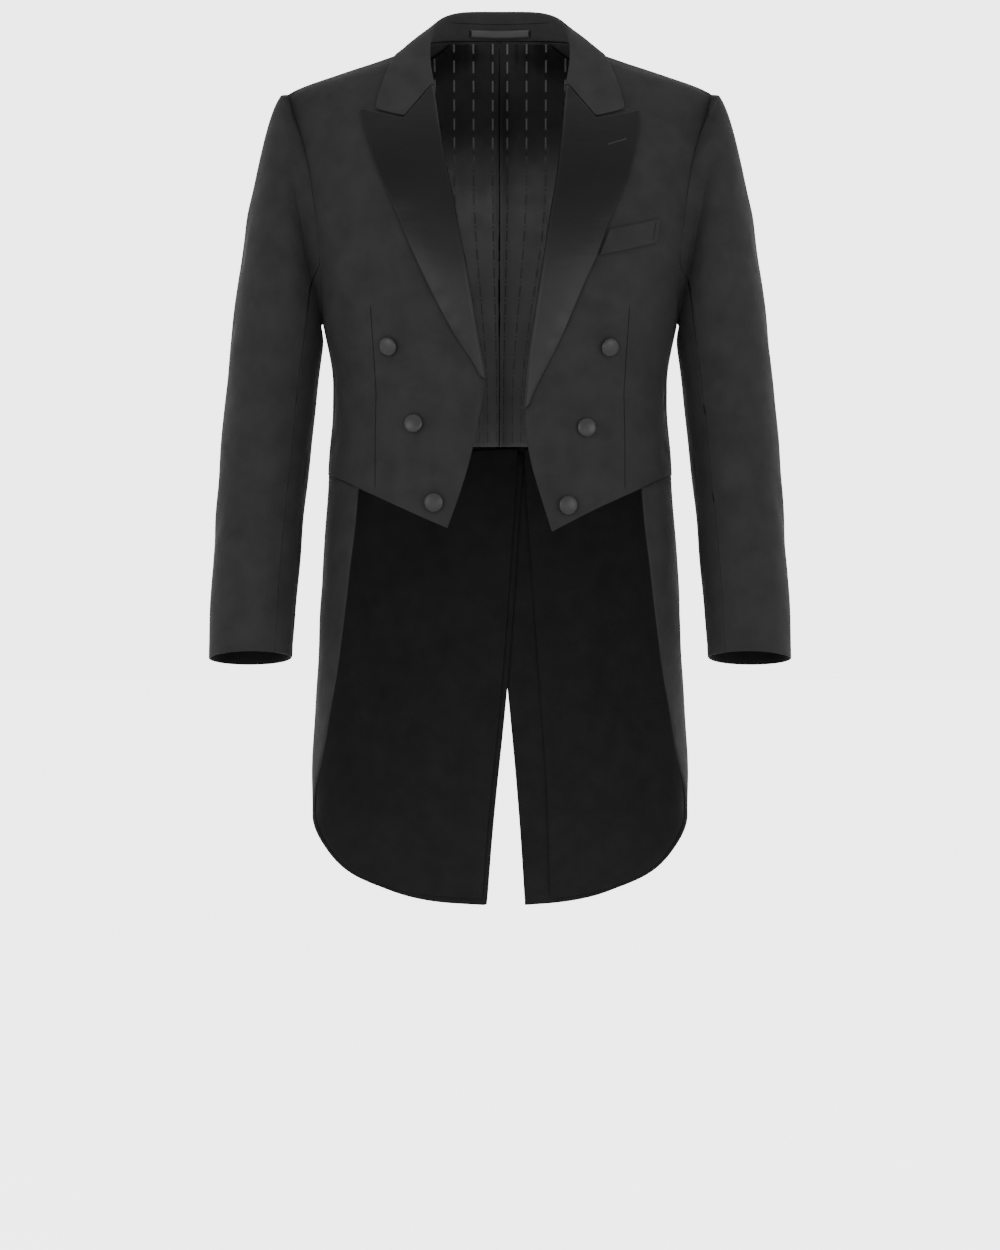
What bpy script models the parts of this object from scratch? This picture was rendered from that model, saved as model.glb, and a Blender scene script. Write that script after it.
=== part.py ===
"""Double-breasted evening tailcoat, filled out and hollow.

Metres, +Z up, front towards -Y, +X towards the wearer's left. The origin lies between the shoulders,
level with the collar seam at the nape. A point of the body is given by an angle, 0 at the centre front
and 180 degrees at the centre back, and a height.
"""
import math

import bmesh
import bpy
import numpy as np

# Cloth and gaps
WOOL = 0.0020
SATIN = 0.0016
LINING = 0.0010
LAYER = 0.0010

# Body sections: height, half width, front depth, back depth, squareness
BODY = (
    (-1.000, 0.2125, 0.120, 0.129, 0.020),
    (-0.850, 0.2112, 0.125, 0.125, 0.030),
    (-0.700, 0.2045, 0.128, 0.118, 0.030),
    (-0.600, 0.2005, 0.130, 0.108, 0.040),
    (-0.530, 0.1950, 0.130, 0.096, 0.040),
    (-0.485, 0.1915, 0.126, 0.088, 0.045),
    (-0.430, 0.1865, 0.124, 0.087, 0.045),
    (-0.390, 0.1862, 0.127, 0.092, 0.045),
    (-0.342, 0.1958, 0.133, 0.100, 0.050),
    (-0.285, 0.2062, 0.135, 0.109, 0.050),
    (-0.240, 0.2165, 0.130, 0.112, 0.050),
    (-0.178, 0.2285, 0.114, 0.110, 0.045),
    (-0.130, 0.2335, 0.094, 0.104, 0.020),
    (-0.100, 0.2362, 0.075, 0.098, 0.000),
    (-0.0700, 0.2363, 0.0520, 0.0910, -0.020),
    (-0.0675, 0.2318, 0.0505, 0.0905, -0.020),
    (-0.0621, 0.2200, 0.0470, 0.0893, -0.020),
    (-0.0531, 0.1940, 0.0415, 0.0872, -0.020),
    (-0.0440, 0.1672, 0.0365, 0.0850, -0.020),
    (-0.026, 0.1120, 0.028, 0.081, -0.020),
    (-0.014, 0.0815, 0.020, 0.078, -0.020),
    (0.000, 0.0690, 0.018, 0.075, 0.000),
    (0.040, 0.0640, 0.018, 0.070, 0.000),
)

# Neck edge of the forepart, from near the shoulder down to the gorge: x, height
NECK_EDGE = ((0.0812, -0.017), (0.0810, -0.021), (0.0806, -0.028), (0.0800, -0.037), (0.0780, -0.052),
             (0.0755, -0.068))
# Front opening below the gorge, down the lapel fold and the cut-away edge: x, height
OPENING = {
    -1: ((0.070, -0.103), (0.065, -0.139), (0.056, -0.183), (0.048, -0.228), (0.039, -0.270),
         (0.032, -0.310), (0.022, -0.365), (0.017, -0.398), (0.019, -0.418), (0.024, -0.444),
         (0.031, -0.477), (0.046, -0.527), (0.058, -0.559)),
    1: ((0.072, -0.103), (0.069, -0.136), (0.064, -0.175), (0.057, -0.215), (0.051, -0.253),
        (0.045, -0.292), (0.039, -0.330), (0.033, -0.367), (0.030, -0.402), (0.027, -0.430),
        (0.031, -0.475), (0.042, -0.515), (0.057, -0.563)),
}
# Outer edge of each lapel, from its lower end to its peak: x, height
LAPEL_EDGE = {
    -1: ((0.0215, -0.393), (0.027, -0.381), (0.039, -0.364), (0.058, -0.333), (0.077, -0.296),
         (0.091, -0.267), (0.110, -0.222), (0.123, -0.190), (0.136, -0.157), (0.148, -0.119),
         (0.154, -0.093)),
    1: ((0.0320, -0.424), (0.033, -0.418), (0.046, -0.392), (0.063, -0.358), (0.077, -0.327),
        (0.092, -0.291), (0.105, -0.263), (0.116, -0.231), (0.126, -0.207), (0.139, -0.175),
        (0.147, -0.143), (0.152, -0.119), (0.154, -0.095)),
}
LAPEL_END = {-1: (0.0165, -0.396), 1: (0.0275, -0.428)}
NOTCH = (0.106, -0.1062)
LAPEL_ROLL = ((0.0022, -0.0018), (0.0027, 0.0004), (0.0020, 0.0028), (0.0000, 0.0042))
LAPEL_COLUMNS = ((0.03, 0.0048), (0.14, 0.0046), (0.28, 0.0040), (0.42, 0.0036), (0.62, 0.0034),
                 (0.81, 0.0032), (1.00, 0.0030))
NOTCH_COLUMN = 0.42
LAPEL_ROWS = 18
LAPEL_BELLY = 0.0030
LAPEL_BELLY_START = 0.35
LAPEL_BELLY_RISE = 8
LAPEL_CROWN_POWER = 6
LAPEL_END_GAP = 0.004
GORGE_GAP = 0.0008

# Lower edge of the forepart, from its point to the side seam: x, height
FOREPART_FOOT = ((0.098, -0.5415), (0.127, -0.5278), (0.155, -0.5148), (0.171, -0.5068),
                 (0.184, -0.5010))
FOREPART_SIDE_FOOT = -0.4965
FOREPART_COLUMNS = 13
FOREPART_SIDE_ROWS = 8
# Rows of the forepart below the lapel's end, beside the lapel and above the gorge
FOREPART_ROWS = (7, 11, 6)
LAPEL_TURN_DROP = 0.002
# Facing: rows short of the neck point, and columns from the front edge
FACING_SHORT = 4
FACING_COLUMNS = 7
NECK_POINT = (90.0, -0.0145)
SHOULDER_POINT = (90.0, -0.0703)
NAPE = (180.0, -0.0020)

# Armhole, top to bottom: angle, height
ARMHOLE_FRONT = ((90.0, -0.0703), (82.0, -0.086), (73.3, -0.105), (67.0, -0.134), (60.5, -0.175),
                 (60.5, -0.210), (63.5, -0.249), (73.0, -0.300), (81.0, -0.3215), (88.0, -0.3300))
ARMHOLE_BACK = ((90.0, -0.0703), (98.0, -0.086), (104.0, -0.105), (111.0, -0.140), (116.0, -0.180),
                (118.0, -0.220), (116.0, -0.260), (108.0, -0.300), (98.0, -0.3240), (88.0, -0.3300))
ARM_STEPS = 14
ARM_CENTRE = (89.0, -0.20)
ARMHOLE_CLEARANCE = 0.0007
UNDERARM_STEPS = 5

# Seams of the body: angle, height
SIDE_ANGLE = 88.0
SEAM_ANGLE = 0.08
BACK_SEAM_WAIST = (140.0, -0.4900)
BACK_SEAM = ((139.0, -0.430), (135.0, -0.360))
TAIL_SEAM_FOOT = (141.0, -0.9628)
TAIL_SEAM = ((141.5, -0.800), (141.0, -0.620))
BACK_NECK = ((160.0, -0.0028), (140.0, -0.0048), (115.0, -0.009))
BACK_COLUMNS = 10
BACK_NECK_COLUMNS = 7
SHOULDER_COLUMNS = 4
SIDE_BODY_ROWS = 7
SIDE_BODY_FOOT = -0.4968
SIDE_BODY_HEM = (112.0, -0.4926)
TAIL_ROWS = 11
SKIRT_COLUMNS = 12
SKIRT_LIFT = -0.0004
WAIST_SEAM = ((48.4, -0.5147), (57.6, -0.5075), (68.1, -0.5016), (88.0, -0.4972), (112.0, -0.4930),
              (140.0, -0.4904))
TAIL_EDGE = ((48.4, -0.5147), (49.4, -0.560), (50.9, -0.607), (56.4, -0.684), (63.0, -0.766),
             (69.0, -0.812), (75.0, -0.840), (82.0, -0.858), (90.0, -0.875))
TAIL_HEM = ((90.0, -0.875), (101.0, -0.892), (110.0, -0.911), (121.0, -0.9335), (132.0, -0.9517),
            (141.0, -0.9628))
BACK_HEM = ((141.0, -0.9628), (153.0, -0.9768), (163.0, -0.9835))
# Edge of each tail at the back vent, from its top to the hem: angle, height
VENT_TOP = -0.463
VENT = {
    -1: ((187.0, -0.472), (186.0, -0.520), (182.2, -0.734), (178.4, -0.884), (176.3, -0.987)),
    1: ((184.5, -0.472), (183.0, -0.540), (178.0, -0.734), (175.2, -0.860), (172.9, -0.987)),
}
VENT_LIFT = 0.0033
VENT_LAP_START = -0.435
# Angle from the vent's edge to the lining, at the top and at the hem
VENT_FACING = {-1: (1.6, 1.6), 1: (11.5, 7.6)}
TAIL_LINING_INSET = 1.0
TAIL_LINING_TOP = -0.4640
TAIL_LINING_LIFT = -0.0036
TAIL_LINING_COLUMNS = 13
TAIL_LINING_FOOT = -0.9795
TAIL_LINING_FRONT = -0.517
TAIL_LINING_HEM = ((100.0, -0.885), (110.0, -0.907), (121.0, -0.9295), (132.0, -0.9482), (141.0, -0.9593),
                   (153.0, -0.9722))
TAIL_LINING_WAIST = ((62.0, -0.5095), (74.0, -0.502), (90.0, -0.4985), (112.0, -0.4940), (140.0, -0.4840),
                     (162.0, -0.4690))
VENT_LAP_ANGLE = 165.0
VENT_LAP_FULL = 171.0

# Sleeve rings: outer x and height, inner x and height, middle y, half depth, rise of the front edge
SLEEVE = (
    (0.2455, -0.0715, 0.2000, -0.3318, -0.0050, 0.055, 0.000),
    (0.2525, -0.0830, 0.1994, -0.3340, -0.0055, 0.061, 0.000),
    (0.2620, -0.1120, 0.1987, -0.3365, -0.0055, 0.068, 0.000),
    (0.2725, -0.1580, 0.1980, -0.3400, -0.0045, 0.075, 0.000),
    (0.2835, -0.2120, 0.1973, -0.3450, -0.0030, 0.079, 0.000),
    (0.2908, -0.2650, 0.1972, -0.3530, 0.0000, 0.079, 0.000),
    (0.2988, -0.3250, 0.2005, -0.3740, 0.0010, 0.078, 0.000),
    (0.3068, -0.3900, 0.2044, -0.4100, 0.0000, 0.075, 0.001),
    (0.3122, -0.4550, 0.2098, -0.4630, -0.0030, 0.070, 0.002),
    (0.3165, -0.5200, 0.2162, -0.5200, -0.0100, 0.065, 0.004),
    (0.3202, -0.5800, 0.2222, -0.5800, -0.0200, 0.061, 0.006),
    (0.3222, -0.6400, 0.2265, -0.6400, -0.0320, 0.058, 0.007),
    (0.3232, -0.7025, 0.2306, -0.7010, -0.0450, 0.055, 0.008),
)
FOREARM_SEAM = 10
HIND_SEAM = 9
SLEEVE_SEAM_SHARE = 0.0010

# Front of the collar, which rolls over the neck edge: height on the edge, leaf x, leaf height
COLLAR_FRONT = (
    (-0.0670, 0.1055, -0.1040),
    (-0.0560, 0.1395, -0.0925),
    (-0.0430, 0.1325, -0.0700),
    (-0.0280, 0.1225, -0.0400),
)
COLLAR_ROLL = ((0.0024, -0.0018), (0.0028, -0.0006), (0.0029, 0.0008), (0.0026, 0.0022),
               (0.0016, 0.0036), (-0.0004, 0.0044))
COLLAR_FALL = ((0.22, 0.0048), (0.48, 0.0044), (0.74, 0.0038), (1.00, 0.0030))
# Rest of the collar: seam angle and height, fold x, y, height, leaf x, y, height
COLLAR = (
    (90.0, -0.0145, 0.0775, -0.0020, -0.0010, 0.1130, 0.0020, -0.0215),
    (110.0, -0.0098, 0.0705, 0.0190, 0.0130, 0.0990, 0.0300, -0.0200),
    (130.0, -0.0060, 0.0570, 0.0390, 0.0235, 0.0790, 0.0530, -0.0200),
    (150.0, -0.0037, 0.0370, 0.0550, 0.0290, 0.0500, 0.0715, -0.0205),
    (168.0, -0.0024, 0.0150, 0.0640, 0.0303, 0.0200, 0.0810, -0.0210),
    (180.0, -0.0020, 0.0000, 0.0660, 0.0305, 0.0000, 0.0825, -0.0210),
)
# Round the collar's fold: along the stand from the fold, and outward from it
COLLAR_FOLD = ((-0.0030, -0.0018), (-0.0006, -0.0010), (0.0004, 0.0012), (-0.0012, 0.0032))
COLLAR_CLEARANCE = 0.0011
COLLAR_ROWS = 27
FALL_BULGE = 0.0030

# Covered buttons: side, x, height
BUTTONS = (
    ("button_right_1", -1, 0.1215, -0.360),
    ("button_right_2", -1, 0.0942, -0.445),
    ("button_right_3", -1, 0.0723, -0.531),
    ("button_left_1", 1, 0.1195, -0.361),
    ("button_left_2", 1, 0.0945, -0.449),
    ("button_left_3", 1, 0.0740, -0.534),
)
# Half profile of a button from its back to its crown: radius, distance from the cloth
BUTTON_PROFILE = ((0.0055, 0.0004), (0.0095, 0.0014), (0.0104, 0.0026), (0.0092, 0.0042),
                  (0.0058, 0.0052))
BUTTON_CROWN = 0.0056
BUTTON_SIDES = 14

# Breast welt corners, upper inner, upper outer, lower inner, lower outer: x, height
WELT = ((0.1195, -0.2325), (0.1755, -0.2185), (0.1085, -0.2612), (0.1715, -0.2453))

WELT_LIFT = SATIN + 0.0008
WELT_COLUMNS = 6
WELT_ROWS = 3

# Back lining: top row and hem; centre pleat height and half angle; ease over the shoulder blades
LINING_TOP = -0.0040
LINING_TOP_DROP = 0.0040
LINING_TOP_POWER = 1.5
LINING_HALF_ANGLE = 60.0
LINING_HEM = -0.4620
LINING_EDGE = ((126.0, -0.0080), (131.0, -0.100), (134.0, -0.200), (137.0, -0.330), (139.0, LINING_HEM))
PLEAT = 0.0035
PLEAT_ANGLE = 5.0
LINING_EASE = 0.0035
LINING_EASE_FROM = -0.24
LINING_EASE_SPAN = 0.10
LINING_EASE_END = -0.050
LINING_EASE_TOP = 0.20
LINING_ROWS = (0.00, 0.10, 0.20, 0.30, 0.40, 0.50, 0.60, 0.70, 0.79, 0.87, 0.92, 0.955, 0.98, 1.00)
LINING_COLUMNS = (120.0, 132.0, 144.0, 156.0, 167.0, 174.5, 178.0, 180.0, 182.0, 185.5, 193.0, 204.0, 216.0,
                  228.0, 240.0)
PLEAT_FADE = 0.05

# Hanger loop: half width, low and high edge; place in the nape, its bow and its lean
LOOP = (0.034, 0.0010, 0.0095)
LOOP_PLACE = 0.0685
LOOP_BOW = 0.0085
LOOP_LEAN = 0.22
LOOP_ROWS = 3
LOOP_COLUMNS = 9

COLOURS = {
    "wool": ((0.030, 0.030, 0.032), 0.85),
    "satin": ((0.012, 0.012, 0.013), 0.40),
    "lining": ((0.020, 0.020, 0.021), 0.50),
}


def monotone(xs, ys):
    """Smooth curve through points that never overshoots them."""
    xs = np.asarray(xs, float)
    ys = np.asarray(ys, float)
    steps = np.diff(xs)
    slopes = np.diff(ys) / steps
    tangents = np.zeros(len(xs))
    tangents[0] = slopes[0]
    tangents[-1] = slopes[-1]
    for i in range(1, len(xs) - 1):
        if slopes[i - 1] * slopes[i] > 0:
            before = 2 * steps[i] + steps[i - 1]
            after = steps[i] + 2 * steps[i - 1]
            tangents[i] = (before + after) / (before / slopes[i - 1] + after / slopes[i])

    def value(x):
        x = min(max(x, xs[0]), xs[-1])
        i = min(max(int(np.searchsorted(xs, x)) - 1, 0), len(xs) - 2)
        t = (x - xs[i]) / steps[i]
        rise = ys[i] * (1 + 2 * t) * (1 - t) ** 2 + ys[i + 1] * t * t * (3 - 2 * t)
        turn = tangents[i] * t * (1 - t) ** 2 + tangents[i + 1] * t * t * (t - 1)
        return rise + steps[i] * turn

    return value


COLUMNS = list(zip(*BODY))
HALF_WIDTH, FRONT_DEPTH, BACK_DEPTH, SQUARENESS = (monotone(COLUMNS[0], c) for c in COLUMNS[1:])


def base_point(side, angle, z):
    """Point of the body's outer face."""
    phi = math.radians(angle)
    k = SQUARENESS(z)
    across = (math.sin(phi) + k * math.sin(3 * phi)) / (1 - k)
    along = (math.cos(phi) - k * math.cos(3 * phi)) / (1 - k)
    depth = FRONT_DEPTH(z) if along >= 0 else BACK_DEPTH(z)
    return np.array((side * HALF_WIDTH(z) * across, -depth * along, z))


def base_normal(side, angle, z):
    """Outward direction of the body's outer face."""
    turn = base_point(side, angle + 0.5, z) - base_point(side, angle - 0.5, z)
    climb = base_point(side, angle, z + 0.002) - base_point(side, angle, z - 0.002)
    normal = np.cross(turn, climb) * side
    return normal / np.linalg.norm(normal)


def body_point(side, angle, z, lift=0.0):
    """Point a given distance outside the body's outer face."""
    return base_point(side, angle, z) + lift * base_normal(side, angle, z)


def angle_at(x, z):
    """Angle of the front point at a distance x from the centre."""
    low, high = 0.0, 90.0
    for _ in range(40):
        middle = (low + high) / 2
        if base_point(1, middle, z)[0] < x:
            low = middle
        else:
            high = middle
    return low


def front_places(rows):
    """Angle and height of points given by x and height."""
    return [(angle_at(x, z), z) for x, z in rows]


def along_curve(points, shares):
    """Points at given shares of the length of a smooth curve."""
    points = np.asarray(points, float)
    scaled = points * ((0.003, 1.0) if points.shape[1] == 2 else (1.0, 1.0, 1.0))
    length = np.concatenate(((0.0,), np.cumsum(np.linalg.norm(np.diff(scaled, axis=0), axis=1))))
    tracks = [monotone(length / length[-1], column) for column in points.T]
    return [np.array([track(share) for track in tracks]) for share in shares]


def even_rows(points, count):
    """Grid with more rows, evenly apart on average, on smooth curves through the rows given."""
    steps = np.linalg.norm(np.diff(points, axis=0), axis=2).mean(axis=1)
    length = np.concatenate(((0.0,), np.cumsum(steps)))
    tracks = [[monotone(length, points[:, i, k]) for k in range(3)] for i in range(points.shape[1])]
    return np.array([[[track(at) for track in column] for column in tracks]
                     for at in np.linspace(0.0, length[-1], count)])


def evenly(count, start=0.0, end=1.0):
    return list(np.linspace(start, end, count))


def at_heights(points, heights):
    """Points of a curve that only climbs, at given heights."""
    rows = sorted(points, key=lambda row: row[1])
    track = monotone([row[1] for row in rows], [row[0] for row in rows])
    return [np.array((track(z), z)) for z in heights]


def patch(bottom, top, near, far):
    """Grid of angle and height between four edges, given as lists of points from corner to corner."""
    bottom, top, near, far = (np.asarray(edge, float) for edge in (bottom, top, near, far))
    rows, columns = len(near), len(bottom)
    grid = np.zeros((rows, columns, 2))
    for j, v in enumerate(evenly(rows)):
        for i, u in enumerate(evenly(columns)):
            across = (1 - u) * near[j] + u * far[j]
            upward = (1 - v) * bottom[i] + v * top[i]
            corners = (1 - v) * ((1 - u) * near[0] + u * far[0]) + v * ((1 - u) * near[-1] + u * far[-1])
            grid[j, i] = across + upward - corners
    return grid


def place(side, grid, lift):
    """Points of a grid of angle and height, lifted off the body by a number or a function of both."""
    rows, columns = grid.shape[:2]
    points = np.zeros((rows, columns, 3))
    for j in range(rows):
        for i in range(columns):
            angle, z = grid[j, i]
            rise = lift(angle, z) if callable(lift) else lift
            points[j, i] = body_point(side, angle, z, rise)
    return points


def material(kind):
    """Principled material of one sort of cloth."""
    if kind in bpy.data.materials:
        return bpy.data.materials[kind]
    colour, roughness = COLOURS[kind]
    made = bpy.data.materials.new(kind)
    made.use_nodes = True
    shader = made.node_tree.nodes["Principled BSDF"]
    shader.inputs["Base Color"].default_value = (*colour, 1.0)
    shader.inputs["Roughness"].default_value = roughness
    shader.inputs["Metallic"].default_value = 0.0
    return made


def add_object(name, mesh_maker, kind):
    """Named object from a bmesh, with its faces turned outward."""
    bmesh.ops.recalc_face_normals(mesh_maker, faces=mesh_maker.faces)
    mesh = bpy.data.meshes.new(name)
    mesh_maker.to_mesh(mesh)
    mesh_maker.free()
    mesh.materials.append(material(kind))
    mesh.shade_smooth()
    mesh.set_sharp_from_angle(angle=math.radians(50))
    made = bpy.data.objects.new(name, mesh)
    bpy.context.scene.collection.objects.link(made)
    return made


def wall(name, outer, inner, kind):
    """Closed wall between two grids of points."""
    rows, columns = outer.shape[:2]
    maker = bmesh.new()
    faces_out = [[maker.verts.new(point) for point in row] for row in outer]
    faces_in = [[maker.verts.new(point) for point in row] for row in inner]
    for j in range(rows - 1):
        for i in range(columns - 1):
            for sheet, order in ((faces_out, 1), (faces_in, -1)):
                corners = (sheet[j][i], sheet[j][i + 1], sheet[j + 1][i + 1], sheet[j + 1][i])
                maker.faces.new(corners[::order])
    ring = [(0, i) for i in range(columns)] + [(j, columns - 1) for j in range(1, rows)]
    ring += [(rows - 1, i) for i in range(columns - 2, -1, -1)] + [(j, 0) for j in range(rows - 2, 0, -1)]
    for (j, i), (m, n) in zip(ring, ring[1:] + ring[:1]):
        maker.faces.new((faces_out[m][n], faces_out[j][i], faces_in[j][i], faces_in[m][n]))
    return add_object(name, maker, kind)


def cloth(name, side, grid, thickness, kind, lift=0.0):
    """Wall of cloth on the body, its outer face at the given lift."""
    def under(angle, z):
        return (lift(angle, z) if callable(lift) else lift) - thickness

    return wall(name, place(side, grid, lift), place(side, grid, under), kind)


def sheet_under(outer, thickness, side):
    """Grid of points a thickness below a grid, along its own normals."""
    inner = np.zeros_like(outer)
    rows, columns = outer.shape[:2]
    for j in range(rows):
        for i in range(columns):
            run = outer[j, min(i + 1, columns - 1)] - outer[j, max(i - 1, 0)]
            climb = outer[min(j + 1, rows - 1), i] - outer[max(j - 1, 0), i]
            normal = np.cross(run, climb) * side
            inner[j, i] = outer[j, i] - thickness * normal / np.linalg.norm(normal)
    return inner


def side_name(side):
    return "left" if side > 0 else "right"


ARM_FRONT = along_curve(ARMHOLE_FRONT, evenly(ARM_STEPS + 1))
ARM_BACK = along_curve(ARMHOLE_BACK, evenly(ARM_STEPS + 1))


def opening_edge(side):
    """Edge of the forepart from the neck point down to its lowest point, as angle and height."""
    neck_point = np.array((NECK_POINT[0] - SEAM_ANGLE, NECK_POINT[1]))
    return front_places(OPENING[side][::-1] + NECK_EDGE[::-1]) + [neck_point]


def forepart_grid(side):
    """Forepart from the cut-away edge to the side seam and the armhole."""
    side_rows = evenly(FOREPART_SIDE_ROWS, FOREPART_SIDE_FOOT, ARM_FRONT[-1][1])
    far = [np.array((SIDE_ANGLE - SEAM_ANGLE, z)) for z in side_rows[:-1]]
    far += [np.array(p) for p in ARM_FRONT[::-1]]
    far[-1] = np.array((SHOULDER_POINT[0] - SEAM_ANGLE, SHOULDER_POINT[1]))
    opening = opening_edge(side)
    below, beside, above = FOREPART_ROWS
    turn = LAPEL_END[side][1] - LAPEL_TURN_DROP
    gorge = NECK_EDGE[-1][1]
    heights = evenly(below, opening[0][1], turn)[:-1] + evenly(beside, turn, gorge)[:-1]
    heights += evenly(above, gorge, NECK_POINT[1])
    near = at_heights(opening, heights)
    foot = [near[0]] + front_places(FOREPART_FOOT) + [far[0]]
    bottom = along_curve(foot, evenly(FOREPART_COLUMNS))
    top = along_curve((near[-1], far[-1]), evenly(FOREPART_COLUMNS))
    return patch(bottom, top, near, far)


def make_foreparts():
    for side in (-1, 1):
        grid = forepart_grid(side)
        cloth("forepart_" + side_name(side), side, grid, WOOL, "wool")
        inside = grid[:-FACING_SHORT, :FACING_COLUMNS]
        cloth("facing_" + side_name(side), side, inside, LINING, "wool", -WOOL - LAYER)


def back_seam():
    """Seam between side body and back, from the waist to the armhole."""
    end = ARM_BACK[ARM_STEPS - UNDERARM_STEPS]
    return along_curve((BACK_SEAM_WAIST, *BACK_SEAM, end), evenly(SIDE_BODY_ROWS))


def shifted(points, angle=0.0, height=0.0):
    return [np.array((p[0] + angle, p[1] + height)) for p in points]


def make_side_bodies():
    armhole_part = ARM_BACK[::-1][:UNDERARM_STEPS + 1]
    side_rows = evenly(SIDE_BODY_ROWS, SIDE_BODY_FOOT, ARM_BACK[-1][1])
    near = [np.array((SIDE_ANGLE + SEAM_ANGLE, z)) for z in side_rows]
    far = shifted(back_seam(), -SEAM_ANGLE)
    top = [np.array(p) for p in armhole_part]
    top[0] = near[-1]
    top[-1] = far[-1]
    bottom = along_curve((near[0], SIDE_BODY_HEM, far[0]), evenly(len(top)))
    grid = patch(bottom, top, near, far)
    for side in (-1, 1):
        cloth("sidebody_" + side_name(side), side, grid, WOOL, "wool")


def vent_lift(angle, z):
    """Lift of the outer tail where it laps over the other."""
    turn = min(max((angle - VENT_LAP_ANGLE) / (VENT_LAP_FULL - VENT_LAP_ANGLE), 0.0), 1.0)
    drop = min(max((VENT_LAP_START - z) / (VENT_LAP_START - VENT_TOP), 0.0), 1.0)
    return VENT_LIFT * turn * turn * (3 - 2 * turn) * drop * drop * (3 - 2 * drop)


def tail_seam():
    """Seam between back and skirt, from the hem to the waist."""
    return along_curve((TAIL_SEAM_FOOT, *TAIL_SEAM, BACK_SEAM_WAIST), evenly(TAIL_ROWS))


def back_grid(side):
    """Back from the centre seam and vent to the side seams, armhole and shoulder."""
    upper = ARM_BACK[ARM_STEPS - UNDERARM_STEPS::-1]
    far = shifted(tail_seam()[:-1] + back_seam(), SEAM_ANGLE) + [np.array(p) for p in upper[1:]]
    far[-1] = np.array((SHOULDER_POINT[0] + SEAM_ANGLE, SHOULDER_POINT[1]))
    near = at_heights(VENT[side], evenly(TAIL_ROWS, VENT[side][-1][1], VENT[side][0][1]))
    seam_heights = evenly(len(far) - len(near), VENT_TOP, NAPE[1])
    near += [np.array((NAPE[0] - SEAM_ANGLE, z)) for z in seam_heights]
    bottom = along_curve((near[0], *BACK_HEM[::-1]), evenly(BACK_COLUMNS))
    bottom[-1] = far[0]
    neck_point = (NECK_POINT[0] + SEAM_ANGLE, NECK_POINT[1])
    neck = along_curve((near[-1], *BACK_NECK, neck_point), evenly(BACK_NECK_COLUMNS))
    shoulder = along_curve((neck_point, far[-1]), evenly(SHOULDER_COLUMNS))
    return patch(bottom, neck + shoulder[1:], near, far)


def make_backs():
    for side in (-1, 1):
        lift = vent_lift if side > 0 else 0.0
        cloth("back_" + side_name(side), side, back_grid(side), WOOL, "wool", lift)


def make_skirts():
    far = shifted(tail_seam(), -SEAM_ANGLE)
    far[-1] = np.array((far[-1][0], WAIST_SEAM[-1][1]))
    near = along_curve(TAIL_EDGE[::-1], evenly(TAIL_ROWS))
    top = along_curve((near[-1], *WAIST_SEAM[1:-1], far[-1]), evenly(SKIRT_COLUMNS))
    bottom = along_curve((near[0], *TAIL_HEM[1:-1], far[0]), evenly(SKIRT_COLUMNS))
    grid = patch(bottom, top, near, far)
    for side in (-1, 1):
        cloth("skirt_" + side_name(side), side, grid, WOOL, "wool", SKIRT_LIFT)


def sleeve_ring(row, side, front, share):
    """Outer and inner point of a sleeve ring, share 0 at the top of the arm and 1 below it."""
    outer_x, outer_z, inner_x, inner_z, middle_y, half_depth, rise = row
    top = np.array((outer_x, 0.0, outer_z))
    foot = np.array((inner_x, 0.0, inner_z))
    half_axis = (top - foot) / 2
    half_width = np.linalg.norm(half_axis)
    angle = math.pi * share
    forward = -1.0 if front else 1.0
    point = (top + foot) / 2 + half_axis * math.cos(angle)
    point[1] = middle_y + forward * half_depth * math.sin(angle)
    point[2] += (rise if front else -rise) * math.sin(angle)
    normal = half_axis / half_width * math.cos(angle) / half_width
    normal = normal + np.array((0.0, forward * math.sin(angle) / half_depth, 0.0))
    normal /= np.linalg.norm(normal)
    inner = point - WOOL * normal
    flip = np.array((side, 1.0, 1.0))
    return point * flip, inner * flip


def armhole_ring(side, front, share):
    """Outer and inner point of the sleeve's edge, a seam's width off the armhole."""
    points = ARM_FRONT if front else ARM_BACK
    place_on = share * ARM_STEPS
    low = min(int(place_on), ARM_STEPS - 1)
    angle, z = points[low] + (points[low + 1] - points[low]) * (place_on - low)
    normal = base_normal(side, angle, z)
    before = points[max(low - 1, 0)]
    after = points[min(low + 1, ARM_STEPS)]
    run = body_point(side, *after) - body_point(side, *before)
    away = np.cross(run, normal)
    away /= np.linalg.norm(away)
    centre = body_point(side, *ARM_CENTRE)
    if np.dot(away, centre - body_point(side, angle, z)) < 0:
        away = -away
    outer = body_point(side, angle, z) + away * ARMHOLE_CLEARANCE
    return outer, outer - normal * WOOL


def sleeve_grid(side, places):
    """Outer and inner grid of one sleeve piece, over places of front or back and share."""
    outer, inner = [], []
    for ring in range(len(SLEEVE) + 1):
        row_out, row_in = [], []
        for front, share in places:
            if ring == 0:
                pair = armhole_ring(side, front, share)
            else:
                pair = sleeve_ring(SLEEVE[ring - 1], side, front, share)
            row_out.append(pair[0])
            row_in.append(pair[1])
        outer.append(row_out)
        inner.append(row_in)
    return np.array(outer), np.array(inner)


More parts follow.
